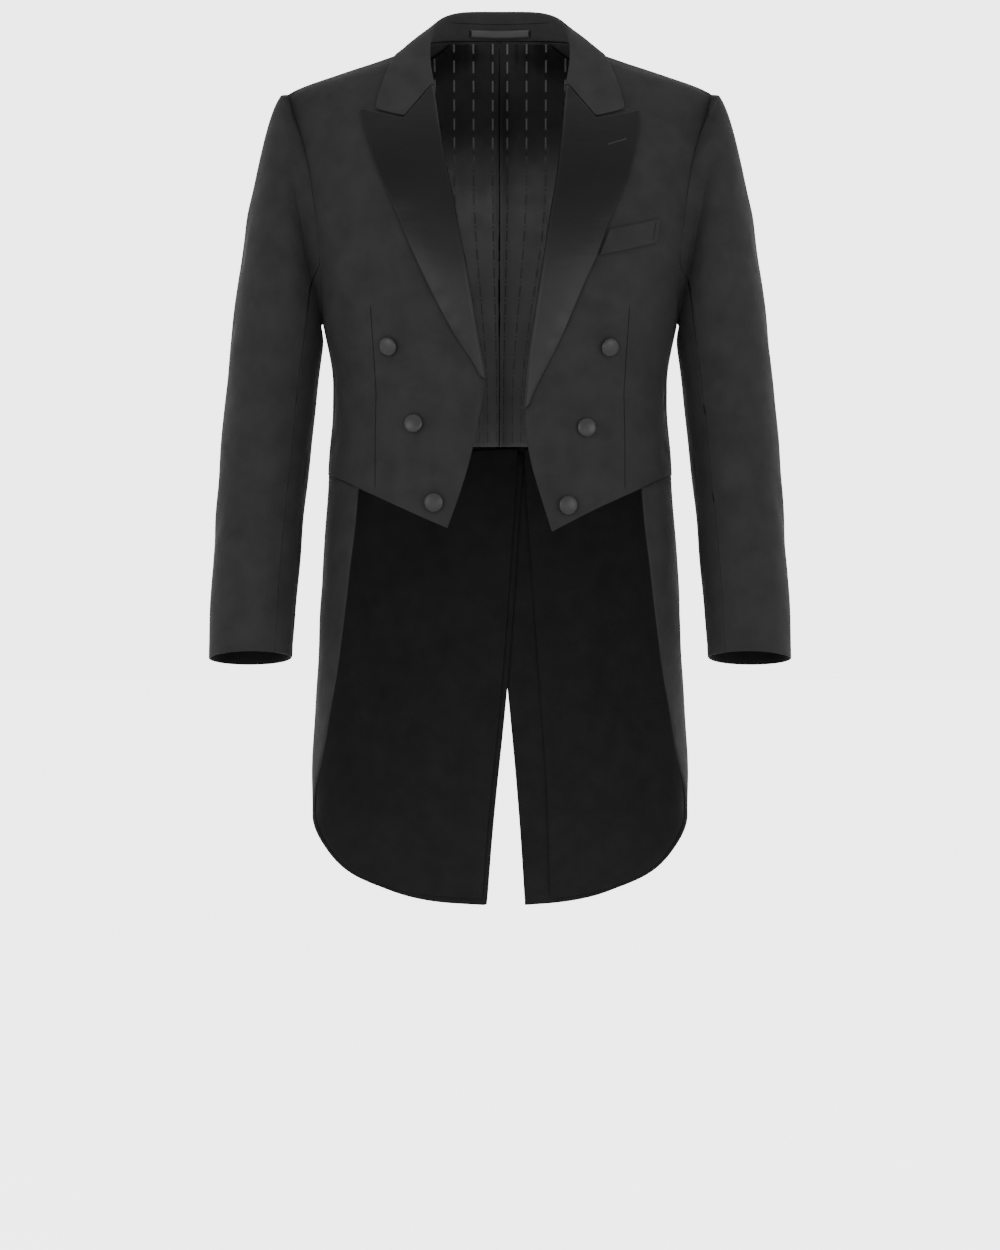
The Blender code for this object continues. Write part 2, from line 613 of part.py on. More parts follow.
def make_sleeves():
    step = 1.0 / ARM_STEPS
    nudge = SLEEVE_SEAM_SHARE
    front_seam = FOREARM_SEAM * step
    back_seam_share = HIND_SEAM * step
    upper = [(True, front_seam - nudge)] + [(True, i * step) for i in range(FOREARM_SEAM - 1, 0, -1)]
    upper += [(False, i * step) for i in range(0, HIND_SEAM)] + [(False, back_seam_share - nudge)]
    lower = [(True, front_seam + nudge)] + [(True, i * step) for i in range(FOREARM_SEAM + 1, ARM_STEPS)]
    lower += [(False, i * step) for i in range(ARM_STEPS, HIND_SEAM, -1)]
    lower += [(False, back_seam_share + nudge)]
    for side in (-1, 1):
        for name, places in (("top_sleeve_", upper), ("under_sleeve_", lower)):
            outer, inner = sleeve_grid(side, places)
            wall(name + side_name(side), outer, inner, "wool")


def rolled(side, spot, profile):
    """Points of a fold round an edge, from reach past the edge and lift."""
    angle, z = spot
    away = base_point(side, angle - 1.0, z) - base_point(side, angle + 1.0, z)
    away /= np.linalg.norm(away)
    normal = base_normal(side, angle, z)
    return [base_point(side, angle, z) + away * reach + normal * lift for reach, lift in profile]


def make_lapels():
    """Satin lapels, rolled round the fold and lying on the foreparts."""
    rows = LAPEL_ROWS
    for side in (-1, 1):
        lowest = LAPEL_END[side][1] + LAPEL_END_GAP
        fold_rows = [NECK_EDGE[-1]] + [row for row in OPENING[side] if row[1] > lowest]
        near = along_curve(front_places([LAPEL_END[side], *fold_rows[::-1]]), evenly(rows))
        far = along_curve(front_places(LAPEL_EDGE[side]), evenly(rows))
        notch = np.array(front_places([NOTCH])[0])
        shares = [column[0] for column in LAPEL_COLUMNS]
        low, high = near[-1], far[-1]
        drop = np.array((0.0, -GORGE_GAP))
        outer = np.zeros((rows, len(LAPEL_ROLL) + len(shares), 3))
        for j, v in enumerate(evenly(rows)):
            start, end = near[j], far[j]
            trim = min(1.0, LAPEL_BELLY_START + v * LAPEL_BELLY_RISE)
            blend = v ** LAPEL_CROWN_POWER
            outer[j, :len(LAPEL_ROLL)] = rolled(side, start, LAPEL_ROLL)
            for i, (share, lift) in enumerate(LAPEL_COLUMNS):
                if share <= NOTCH_COLUMN:
                    crown = low + (notch - low) * share / NOTCH_COLUMN
                else:
                    crown = notch + (high - notch) * (share - NOTCH_COLUMN) / (1 - NOTCH_COLUMN)
                spot = start + (end - start) * share
                spot = spot + (crown - (low + (high - low) * share) + drop) * blend
                belly = LAPEL_BELLY * math.sin(math.pi * share) * (1 - v) * trim
                outer[j, len(LAPEL_ROLL) + i] = body_point(side, spot[0], spot[1], lift + belly)
        inner = sheet_under(outer, SATIN, side)
        wall("lapel_" + side_name(side), outer, inner, "satin")


def collar_front_section(edge, height, leaf_x, leaf_z):
    """Points across the front of the collar, which rolls over the neck edge of the forepart."""
    spot = at_heights(edge, [height])[0]
    leaf = np.array((angle_at(leaf_x, leaf_z), leaf_z))
    points = rolled(1, spot, COLLAR_ROLL)
    for share, lift in COLLAR_FALL:
        angle, z = spot + (leaf - spot) * share
        points.append(body_point(1, angle, z, lift))
    return points


def collar_section(seam, fold, leaf):
    """Points across the collar, from the seam up the stand, over the fold and down the fall."""
    stand = np.linalg.norm(fold - seam)
    rise = (fold - seam) / stand
    flat = (leaf - fold) * (1.0, 1.0, 0.0)
    away = flat - rise * np.dot(flat, rise)
    away /= np.linalg.norm(away)
    bulge = np.cross(np.cross(leaf - fold, (0.0, 0.0, 1.0)), leaf - fold)
    bulge /= np.linalg.norm(bulge)
    points = [seam - away * WOOL, seam + rise * stand / 2 - away * WOOL]
    points += [fold + rise * along + away * out for along, out in COLLAR_FOLD]
    start = points[-1]
    for share, _ in COLLAR_FALL:
        sag = FALL_BULGE * math.sin(math.pi * share)
        points.append(start + (leaf - start) * share + bulge * sag)
    return points


def make_collar():
    """Stand and fall in one wall round the neck."""
    edge = opening_edge(1)
    half = [collar_front_section(edge, *row) for row in COLLAR_FRONT]
    for angle, z, *rest in COLLAR:
        seam = base_point(1, angle, z)
        fold = np.array(rest[:3])
        seam = seam + (fold - seam) / np.linalg.norm(fold - seam) * COLLAR_CLEARANCE
        half.append(collar_section(seam, fold, np.array(rest[3:])))
    half = np.array(half)
    points = np.concatenate((half * (-1.0, 1.0, 1.0), half[::-1][1:]))
    outer = even_rows(points, COLLAR_ROWS)
    wall("collar", outer, sheet_under(outer, SATIN, -1), "wool")


def make_buttons():
    for name, side, x, z in BUTTONS:
        angle = angle_at(x, z)
        centre = body_point(side, angle, z)
        normal = base_normal(side, angle, z)
        across = np.cross((0.0, 0.0, 1.0), normal)
        across /= np.linalg.norm(across)
        up = np.cross(normal, across)
        maker = bmesh.new()
        rings = []
        for radius, distance in BUTTON_PROFILE:
            ring = []
            for i in range(BUTTON_SIDES):
                turn = 2 * math.pi * i / BUTTON_SIDES
                spoke = across * math.cos(turn) + up * math.sin(turn)
                ring.append(maker.verts.new(centre + normal * distance + spoke * radius))
            rings.append(ring)
        crown = maker.verts.new(centre + normal * BUTTON_CROWN)
        maker.faces.new(rings[0])
        for low, high in zip(rings, rings[1:]):
            for i in range(BUTTON_SIDES):
                following = (i + 1) % BUTTON_SIDES
                maker.faces.new((low[i], low[following], high[following], high[i]))
        for i in range(BUTTON_SIDES):
            maker.faces.new((rings[-1][i], rings[-1][(i + 1) % BUTTON_SIDES], crown))
        add_object(name, maker, "satin")


def make_welt():
    upper_inner, upper_outer, lower_inner, lower_outer = (np.array(p) for p in front_places(WELT))
    bottom = along_curve((lower_inner, lower_outer), evenly(WELT_COLUMNS))
    top = along_curve((upper_inner, upper_outer), evenly(WELT_COLUMNS))
    near = along_curve((lower_inner, upper_inner), evenly(WELT_ROWS))
    far = along_curve((lower_outer, upper_outer), evenly(WELT_ROWS))
    cloth("breast_welt", 1, patch(bottom, top, near, far), SATIN, "wool", WELT_LIFT)


def make_back_lining():
    """Lining of the back, from side seam to side seam, with a soft pleat down the middle."""
    def lift(angle, z):
        fold = max(0.0, 1.0 - abs(angle - 180.0) / PLEAT_ANGLE)
        ease = min(max((z - LINING_EASE_FROM) / LINING_EASE_SPAN, 0.0), 1.0)
        rise = min(max((z - LINING_EASE_END) / (LINING_TOP - LINING_EASE_END), 0.0), 1.0)
        ease *= 1.0 - (1.0 - LINING_EASE_TOP) * rise
        pleat = PLEAT * fold * fold * min(1.0, (LINING_TOP - z) / PLEAT_FADE)
        return -WOOL - LAYER - LINING_EASE * ease - pleat

    near = along_curve(LINING_EDGE[::-1], LINING_ROWS)
    grid = np.zeros((len(near), len(LINING_COLUMNS), 2))
    for j, (edge, height) in enumerate(near):
        v = (height - LINING_HEM) / (near[-1][1] - LINING_HEM)
        for i, column in enumerate(LINING_COLUMNS):
            share = (column - 180.0) / LINING_HALF_ANGLE
            top = LINING_TOP - LINING_TOP_DROP * abs(share) ** LINING_TOP_POWER
            grid[j, i] = (180.0 + share * (180.0 - edge), LINING_HEM * (1 - v) + top * v)
    cloth("back_lining", 1, grid, LINING, "lining", lift)


def make_tail_linings():
    """Lining of each tail, short of its edges."""
    for side in (-1, 1):
        near = shifted(along_curve(TAIL_EDGE[::-1], evenly(TAIL_ROWS)), TAIL_LINING_INSET)
        near = [np.array((p[0], min(p[1], TAIL_LINING_FRONT))) for p in near]
        top_cut, hem_cut = VENT_FACING[side]
        drop = [(VENT_TOP - z) / (VENT_TOP - VENT[side][-1][1]) for _, z in VENT[side]]
        vent = [(a - top_cut + (top_cut - hem_cut) * t, z) for (a, z), t in zip(VENT[side], drop)]
        far = at_heights(vent, evenly(TAIL_ROWS, TAIL_LINING_FOOT, TAIL_LINING_TOP))
        bottom = along_curve((near[0], *TAIL_LINING_HEM, far[0]), evenly(TAIL_LINING_COLUMNS))
        top = along_curve((near[-1], *TAIL_LINING_WAIST, far[-1]), evenly(TAIL_LINING_COLUMNS))
        grid = patch(bottom, top, near, far)
        cloth("tail_lining_" + side_name(side), side, grid, LINING, "lining", TAIL_LINING_LIFT)


def make_hanger_loop():
    half_width, low, high = LOOP
    outer = np.zeros((LOOP_ROWS, LOOP_COLUMNS, 3))
    for j, z in enumerate(evenly(LOOP_ROWS, low, high)):
        for i, x in enumerate(evenly(LOOP_COLUMNS, -half_width, half_width)):
            outer[j, i] = (x, LOOP_PLACE - LOOP_BOW * (x / half_width) ** 2 - LOOP_LEAN * (z - low), z)
    inner = outer + np.array((0.0, LINING, 0.0))
    wall("hanger_loop", outer, inner, "lining")


def main():
    for old in list(bpy.data.objects):
        bpy.data.objects.remove(old, do_unlink=True)
    make_foreparts()
    make_side_bodies()
    make_backs()
    make_skirts()
    make_sleeves()
    make_lapels()
    make_collar()
    make_buttons()
    make_welt()
    make_back_lining()
    make_tail_linings()
    make_hanger_loop()


main()
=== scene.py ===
"""Looks of the evening tailcoat: creased cloth shells, seams, stitching, finishes, light and camera.

Metres, in the frame's axes: +Z up, front towards -Y, +X towards the wearer's left.
"""

import math

import bmesh
import bpy
import numpy as np
from mathutils import Matrix, Vector
from mathutils.bvhtree import BVHTree


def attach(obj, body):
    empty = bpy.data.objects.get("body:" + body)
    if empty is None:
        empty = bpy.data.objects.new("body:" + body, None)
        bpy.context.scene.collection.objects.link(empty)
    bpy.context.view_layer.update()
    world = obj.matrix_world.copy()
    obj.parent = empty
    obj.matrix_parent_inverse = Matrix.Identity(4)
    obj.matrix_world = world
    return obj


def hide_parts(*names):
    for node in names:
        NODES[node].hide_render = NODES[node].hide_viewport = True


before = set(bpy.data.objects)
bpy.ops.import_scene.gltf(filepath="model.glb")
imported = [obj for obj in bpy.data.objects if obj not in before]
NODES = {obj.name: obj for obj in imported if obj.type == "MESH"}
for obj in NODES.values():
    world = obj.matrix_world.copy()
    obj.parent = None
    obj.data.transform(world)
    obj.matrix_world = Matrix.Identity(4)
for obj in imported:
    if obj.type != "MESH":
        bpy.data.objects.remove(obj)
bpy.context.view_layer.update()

# Pieces of cloth: CAD node, finish, slot, subdivisions, flat width and length of the cut, flat area
CLOTH = (
    ("forepart_right", "wool", "wool", 3, 0.255, 0.560, 0.1020),
    ("forepart_left", "wool", "wool", 3, 0.255, 0.560, 0.0990),
    ("facing_right", "wool", "wool", 1, 0.145, 0.500, 0.0510),
    ("facing_left", "wool", "wool", 1, 0.145, 0.500, 0.0500),
    ("sidebody_right", "wool", "wool", 2, 0.135, 0.195, 0.0200),
    ("sidebody_left", "wool", "wool", 2, 0.135, 0.195, 0.0200),
    ("back_right", "wool", "wool", 2, 0.245, 1.000, 0.1610),
    ("back_left", "wool", "wool", 2, 0.245, 1.000, 0.1560),
    ("skirt_right", "wool", "wool", 2, 0.255, 0.480, 0.0775),
    ("skirt_left", "wool", "wool", 2, 0.255, 0.480, 0.0775),
    ("top_sleeve_right", "wool", "wool", 3, 0.245, 0.660, 0.1310),
    ("top_sleeve_left", "wool", "wool", 3, 0.245, 0.660, 0.1310),
    ("under_sleeve_right", "wool", "wool", 3, 0.140, 0.410, 0.0475),
    ("under_sleeve_left", "wool", "wool", 3, 0.140, 0.410, 0.0475),
    ("collar", "collar", "wool", 2, 0.090, 0.440, 0.0315),
    ("lapel_right", "satin", "satin", 3, 0.100, 0.355, 0.0200),
    ("lapel_left", "satin", "satin", 3, 0.100, 0.385, 0.0210),
    ("breast_welt", "wool", "wool", 2, 0.064, 0.029, 0.0017),
    ("back_lining", "lining", "lining", 3, 0.360, 0.460, 0.1480),
    ("tail_lining_right", "tail_lining", "lining", 2, 0.330, 0.500, 0.1440),
    ("tail_lining_left", "tail_lining", "lining", 2, 0.330, 0.500, 0.1210),
    ("hanger_loop", "loop", "lining", 2, 0.070, 0.010, 0.0006),
)

# Pieces that make the outside of the coat, and its middle
OUTER_CLOTH = ("forepart", "sidebody", "back_right", "back_left", "skirt", "top_", "under_")
FOLDED_CLOTH = ("lapel", "collar")
COAT_MIDDLE = Vector((0.0, 0.0, -0.200))
# Smoothing: how near a seam's other piece is, and how sharp rims and turned edges stay
SEAM_REACH = 0.0015
CORD_REACH = 0.0025
RIM_ANGLE = math.radians(50.0)
SHARP_TURN = math.radians(25.0)
FREE_EDGE_CREASE = 0.55
FOLDED_EDGE_CREASE = 0.50
# Edges shorter than this run through the wall
THROUGH_EDGE = 0.0024
# Radii of the cord in a seam, of sewn threads and of piping
SEAM_CORD = 0.00100
DART_THREAD = 0.00042
THREAD = 0.00030
TACK_THREAD = 0.00035
PIPING_CORD = 0.0009
JET_CORD = 0.0005
POCKET_TACK = 0.0007
# Faces that look inward by this share get the darker wool, painted shade for the inside of the coat
INSIDE_SHARE = 0.45
# The backs' two smoothed layers cross near the neck, so above this height neither gets the painted shade of
# the inside
DARK_BACK_TOP = -0.090
# Room between the back lining and the backs, at its inner face and its outer face
LINING_CLEARANCE = 0.0008
LINING_CLEARANCE_SHARE = 2.2
LINING_REACH = 0.012

# Angle round the body, 0 at the centre front and 180 at the centre back, and its length of arc
BODY_HALF_WIDTH = 0.205
BODY_HALF_DEPTH = 0.118
BODY_ARC = 0.0030
# Sleeve middle at two heights: height, x, y; length of arc for each degree round it
SLEEVE_TOP = (-0.200, 0.2420, -0.0030)
SLEEVE_CUFF = (-0.700, 0.2770, -0.0450)
SLEEVE_ARC = 0.0010

# Creases: start angle and height, end angle and height, half width, depth, bow to one side
BODY_CREASES = {
    -1: (
        (38.0, -0.300, 72.0, -0.372, 0.014, 0.0016, 0.010),
        (30.0, -0.395, 60.0, -0.432, 0.012, 0.0012, -0.006),
        (66.0, -0.372, 84.0, -0.450, 0.011, 0.0013, 0.005),
        (60.0, -0.462, 84.0, -0.480, 0.009, 0.0010, 0.003),
        (22.0, -0.452, 44.0, -0.512, 0.014, 0.0011, 0.004),
        (100.0, -0.380, 130.0, -0.455, 0.013, 0.0016, 0.008),
        (128.0, -0.330, 160.0, -0.405, 0.014, 0.0015, -0.008),
        (150.0, -0.420, 172.0, -0.446, 0.010, 0.0012, 0.004),
        (130.0, -0.110, 160.0, -0.165, 0.018, 0.0014, 0.010),
        (120.0, -0.560, 132.0, -0.800, 0.020, 0.0026, 0.006),
        (150.0, -0.590, 160.0, -0.860, 0.022, 0.0022, -0.008),
        (84.0, -0.540, 92.0, -0.740, 0.018, 0.0020, 0.006),
        (132.0, -0.600, 164.0, -0.695, 0.020, 0.0020, 0.010),
    ),
    1: (
        (42.0, -0.310, 70.0, -0.366, 0.013, 0.0014, 0.008),
        (28.0, -0.402, 58.0, -0.424, 0.011, 0.0011, -0.005),
        (64.0, -0.384, 83.0, -0.444, 0.012, 0.0015, 0.006),
        (58.0, -0.470, 80.0, -0.484, 0.008, 0.0009, 0.003),
        (26.0, -0.448, 46.0, -0.506, 0.015, 0.0010, -0.005),
        (98.0, -0.390, 126.0, -0.450, 0.014, 0.0014, 0.006),
        (132.0, -0.340, 158.0, -0.398, 0.013, 0.0016, -0.007),
        (146.0, -0.425, 170.0, -0.440, 0.009, 0.0011, 0.003),
        (126.0, -0.120, 158.0, -0.158, 0.017, 0.0013, 0.008),
        (112.0, -0.570, 128.0, -0.820, 0.021, 0.0024, 0.008),
        (146.0, -0.570, 154.0, -0.840, 0.020, 0.0024, 0.006),
        (80.0, -0.550, 88.0, -0.720, 0.017, 0.0018, 0.005),
    ),
}
# The angle round a sleeve is 0 on its outer side, -90 in front, 90 behind and 180 next to the body
SLEEVE_CREASES = {
    -1: (
        (-150.0, -0.360, -60.0, -0.402, 0.010, 0.0022, 0.006),
        (-165.0, -0.398, -70.0, -0.448, 0.011, 0.0024, 0.008),
        (-140.0, -0.452, -50.0, -0.470, 0.010, 0.0018, -0.005),
        (-160.0, -0.490, -90.0, -0.540, 0.012, 0.0016, 0.005),
        (-30.0, -0.300, 20.0, -0.420, 0.016, 0.0016, 0.010),
        (40.0, -0.240, 100.0, -0.330, 0.015, 0.0020, 0.008),
        (60.0, -0.380, 140.0, -0.430, 0.012, 0.0018, -0.006),
        (-40.0, -0.520, 10.0, -0.590, 0.014, 0.0014, 0.006),
        (-110.0, -0.600, -40.0, -0.640, 0.010, 0.0012, 0.004),
        (70.0, -0.560, 130.0, -0.610, 0.012, 0.0014, 0.004),
        (-60.0, -0.190, -10.0, -0.290, 0.016, 0.0015, 0.010),
    ),
    1: (
        (-155.0, -0.372, -65.0, -0.410, 0.011, 0.0022, 0.006),
        (-160.0, -0.418, -72.0, -0.440, 0.010, 0.0020, -0.005),
        (-135.0, -0.458, -48.0, -0.492, 0.011, 0.0020, 0.007),
        (-150.0, -0.520, -80.0, -0.556, 0.011, 0.0014, 0.004),
        (-24.0, -0.310, 24.0, -0.400, 0.017, 0.0016, 0.010),
        (44.0, -0.250, 104.0, -0.345, 0.015, 0.0018, 0.007),
        (58.0, -0.390, 136.0, -0.446, 0.013, 0.0020, 0.006),
        (-36.0, -0.500, 16.0, -0.600, 0.015, 0.0015, 0.008),
        (-100.0, -0.620, -30.0, -0.645, 0.010, 0.0011, 0.004),
        (66.0, -0.570, 134.0, -0.600, 0.011, 0.0014, -0.004),
        (-56.0, -0.200, -8.0, -0.280, 0.015, 0.0013, 0.008),
    ),
}
# Puckers of the satin, on the same angles as the body
LAPEL_CREASES = {
    -1: (
        (8.0, -0.300, 22.0, -0.322, 0.0070, 0.0006, 0.002),
        (9.0, -0.318, 20.0, -0.345, 0.0060, 0.0005, -0.002),
        (7.0, -0.344, 16.0, -0.362, 0.0055, 0.0005, 0.002),
        (12.0, -0.258, 28.0, -0.276, 0.0090, 0.0005, 0.003),
        (16.0, -0.205, 34.0, -0.232, 0.0110, 0.0005, 0.004),
    ),
    1: (
        (10.0, -0.312, 22.0, -0.340, 0.0070, 0.0006, 0.002),
        (9.0, -0.342, 19.0, -0.358, 0.0060, 0.0005, -0.002),
        (8.0, -0.366, 15.0, -0.392, 0.0055, 0.0005, 0.002),
        (13.0, -0.266, 27.0, -0.296, 0.0090, 0.0005, 0.003),
        (17.0, -0.214, 33.0, -0.238, 0.0110, 0.0005, 0.003),
    ),
}
# Gathers where the back lining meets the collar: x, half width, depth
LINING_GATHERS = ((-0.056, 0.0040, 0.0011), (-0.041, 0.0030, 0.0014), (-0.031, 0.0028, 0.0010),
                  (-0.012, 0.0026, 0.0012), (0.006, 0.0030, 0.0010), (0.021, 0.0026, 0.0013),
                  (0.034, 0.0030, 0.0011), (0.047, 0.0034, 0.0014), (0.060, 0.0040, 0.0012))
LINING_GATHER_FADE = 0.030
# Centre pleat of the back lining: reach and depth of its fold, and its edge, where a dark cord paints the
# shadow under the fold: x, height, half width
PLEAT_REACH = 0.0174
PLEAT_DEPTH = 0.0035
PLEAT_STEP = 0.0012
PLEAT_SHADOW_LINE = ((-0.0008, -0.0070, 0.00040), (-0.0006, -0.1500, 0.00055), (-0.0006, -0.2300, 0.00110),
              (-0.0007, -0.3100, 0.00130), (-0.0006, -0.3600, 0.00060), (-0.0004, -0.4580, 0.00050))
# Soft swell and long waves of every layer: amplitude, waves for each metre of arc and of height, phase
SWELL = ((0.00055, 31.0, 17.0, 0.4), (0.00040, 53.0, -37.0, 1.9), (0.00030, -23.0, 71.0, 3.1))

# Buttons: centre x and height on the cloth, tilt up and tilt aside in degrees
BUTTONS = {
    "button_right_1": (-1, 0.1215, -0.360, 3.0, -5.0),
    "button_right_2": (-1, 0.0942, -0.445, -11.0, 4.0),
    "button_right_3": (-1, 0.0723, -0.531, 4.0, 6.0),
    "button_left_1": (1, 0.1195, -0.361, 4.0, 3.0),
    "button_left_2": (1, 0.0945, -0.449, -3.0, -6.0),
    "button_left_3": (1, 0.0740, -0.534, 5.0, 5.0),
}
BUTTON_PROFILE = ((0.0052, 0.0002), (0.0088, 0.0009), (0.0100, 0.0018), (0.0104, 0.0027), (0.0101, 0.0035),
                  (0.0090, 0.0043), (0.0073, 0.0049), (0.0052, 0.0054), (0.0030, 0.0057), (0.0012, 0.0058))
BUTTON_SIDES = 48

# Sewn lines seen from the front: x and height
FRONT_DART = ((0.142, -0.315), (0.139, -0.360), (0.136, -0.410), (0.137, -0.460), (0.137, -0.5160))
BUTTONHOLE = ((0.1190, -0.1365), (0.1380, -0.1300))
WELT_END_STITCH = ((0.1712, -0.2222), (0.1678, -0.2440))
COLLAR_STITCH = ((-0.056, 0.0150), (-0.030, 0.0163), (0.000, 0.0166), (0.030, 0.0163), (0.056, 0.0150))
LOOP_TACKS = ((-0.0335, 0.0012, 0.0094), (0.0335, 0.0012, 0.0094))
# Inside front: edge of the facing's lining, and the mouths of its two pockets: x and height
PIPING_LINE = ((0.1420, -0.1500), (0.1400, -0.2000), (0.1330, -0.2600), (0.1270, -0.3200), (0.1290, -0.3800),
               (0.1380, -0.4400), (0.1480, -0.4900))
PIPING_STITCH_GAP = 0.0035
INSIDE_POCKETS = (((0.1480, -0.2650), (0.0900, -0.2440)), ((0.1420, -0.3950), (0.0840, -0.3760)))
POCKET_JET = 0.0030

# Picture: height of the photograph's frame at the coat, camera distance and height
FRAME_HEIGHT = 1.400
CAMERA_DISTANCE = 5.0
CAMERA_HEIGHT = -0.665
SENSOR = 24.0
FLOOR_HEIGHT = -1.450
FLOOR_REACH = 60.0
# Soft boxes: name, place, size, watts
LIGHTS = (
    ("key", (-2.7, -3.3, 0.1), 2.2, 150.0),
    ("fill", (2.8, -3.2, -0.2), 2.2, 140.0),
    ("front", (0.0, -4.6, -1.7), 1.6, 90.0),
    ("top", (0.0, -1.2, 2.4), 1.6, 6.0),
)
LIGHT_TARGET = (0.0, 0.0, -0.45)
WORLD_STRENGTH = 4.00


def smoothstep(t):
    t = np.clip(t, 0.0, 1.0)
    return t * t * (3.0 - 2.0 * t)


# Finishes

class Finish:
    """A material and short calls that add nodes to it."""

    def __init__(self, name):
        self.material = bpy.data.materials.new(name)
        self.material.use_nodes = True
        self.tree = self.material.node_tree
        self.shader = self.tree.nodes["Principled BSDF"]
        self.place = self.add("ShaderNodeTexCoord").outputs["Object"]

    def add(self, kind, **settings):
        node = self.tree.nodes.new(kind)
        for key, value in settings.items():
            setattr(node, key, value)
        return node

    def link(self, source, target):
        self.tree.links.new(source, target)

    def constant(self, **values):
        for key, value in values.items():
            self.shader.inputs[key.replace("_", " ").title().replace("Ior", "IOR")].default_value = value

    def math(self, operation, first, second=None, clamp=False):
        node = self.add("ShaderNodeMath", operation=operation, use_clamp=clamp)
        for slot, value in zip(node.inputs, (first, second)):
            if value is None:
                continue
            if isinstance(value, (int, float)):
                slot.default_value = value
            else:
                self.link(value, slot)
        return node.outputs[0]

    def noise(self, scale, detail=3.0, stretch=None, roughness=0.55):
        node = self.add("ShaderNodeTexNoise")
        node.inputs["Scale"].default_value = scale
        node.inputs["Detail"].default_value = detail
        node.inputs["Roughness"].default_value = roughness
        if stretch:
            mapping = self.add("ShaderNodeMapping")
            mapping.inputs["Scale"].default_value = stretch
            self.link(self.place, mapping.inputs["Vector"])
            self.link(mapping.outputs[0], node.inputs["Vector"])
        else:
            self.link(self.place, node.inputs["Vector"])
        return node.outputs[0]

    def wave(self, scale, direction, distortion=0.0):
        node = self.add("ShaderNodeTexWave", bands_direction=direction)
        node.inputs["Scale"].default_value = scale
        node.inputs["Distortion"].default_value = distortion
        node.inputs["Detail"].default_value = 1.0
        self.link(self.place, node.inputs["Vector"])
        return node.outputs["Fac"]

    def ramp(self, source, stops):
        node = self.add("ShaderNodeValToRGB")
        elements = node.color_ramp.elements
        while len(elements) < len(stops):
            elements.new(0.5)
        for element, (position, colour) in zip(elements, stops):
            element.position = position
            element.color = (*colour, 1.0)
        self.link(source, node.inputs[0])
        return node.outputs[0]

    def mix(self, share, first, second):
        node = self.add("ShaderNodeMix", data_type="RGBA")
        self.link(share, node.inputs[0])
        for slot, value in ((node.inputs[6], first), (node.inputs[7], second)):
            if isinstance(value, tuple):
                slot.default_value = (*value, 1.0)
            else:
                self.link(value, slot)
        return node.outputs[2]

    def between(self, source, low, high, to_low, to_high):
        node = self.add("ShaderNodeMapRange", interpolation_type="SMOOTHSTEP")
        for slot, value in zip(list(node.inputs)[1:5], (low, high, to_low, to_high)):
            slot.default_value = value
        self.link(source, node.inputs[0])
        return node.outputs[0]

    def bump(self, height, distance, strength=1.0, under=None):
        node = self.add("ShaderNodeBump")
        node.inputs["Distance"].default_value = distance
        node.inputs["Strength"].default_value = strength
        self.link(height, node.inputs["Height"])
        if under is not None:
            self.link(under, node.inputs["Normal"])
        return node.outputs[0]


def grey(value, blue=1.04):
    return (value, value, value * blue)


def wool_finish(name, tone):
    """Fine worsted twill: mottled near-black yarn, a diagonal rib and a short nap."""
    made = Finish(name)
    mottle = made.noise(34.0, 4.0)
    ground = made.ramp(mottle, ((0.30, grey(tone * 0.86)), (0.72, grey(tone * 1.16))))
    yarn = made.noise(1400.0, 2.0)
    flecked = made.mix(made.between(yarn, 0.55, 0.80, 0.0, 0.5), ground, grey(tone * 1.9))
    made.link(flecked, made.shader.inputs["Base Color"])
    made.link(made.between(made.noise(60.0, 3.0), 0.3, 0.7, 0.78, 0.90), made.shader.inputs["Roughness"])
    rib = made.bump(made.wave(430.0, "DIAGONAL", 0.6), 0.00012, 0.55)
    nap = made.bump(yarn, 0.00010, 0.45, rib)
    made.link(made.bump(made.noise(55.0, 3.0), 0.0011, 0.25, nap), made.shader.inputs["Normal"])
    made.constant(sheen_weight=0.01, sheen_roughness=0.40, ior=1.10)
    return made.material


def satin_finish(name, tone, painted_sheen_tone, roughness, pucker, gloss=1.12):
    """Silk satin: dark, with a soft lengthwise gloss, fine weft lines and shallow puckers, painted lighter
    towards its lower part as a painted highlight.
    """
    made = Finish(name)
    cloud = made.noise(11.0, 3.0)
    height = made.add("ShaderNodeSeparateXYZ")
    made.link(made.place, height.inputs[0])
    # Painted highlight: the top keeps the dark tone and the lower part is painted lighter, as light falls on
    # the lapels' low ends.
    upper = made.ramp(cloud, ((0.32, grey(tone * 0.85)), (0.70, grey(tone * 1.20))))
    lower = made.ramp(cloud, ((0.32, grey(painted_sheen_tone * 0.85)), (0.70, grey(painted_sheen_tone * 1.20))))
    painted_sheen_share = made.between(height.outputs["Z"], -0.360, -0.150, 1.0, 0.0)
    made.link(made.mix(painted_sheen_share, upper, lower), made.shader.inputs["Base Color"])
    made.link(made.between(made.noise(26.0, 3.0), 0.3, 0.7, roughness - 0.04, roughness + 0.05),
              made.shader.inputs["Roughness"])
    weft = made.bump(made.wave(620.0, "Z", 0.8), 0.00004, 0.4)
    drawn = made.bump(made.noise(30.0, 2.0, (1.0, 1.0, 2.6)), pucker, 0.5, weft)
    slub = made.bump(made.noise(240.0, 3.0, (1.0, 1.0, 0.25)), 0.00012, 0.35, drawn)
    made.link(slub, made.shader.inputs["Normal"])
    made.constant(anisotropic=0.45, sheen_weight=0.005, sheen_roughness=0.35, ior=gloss)
    return made.material


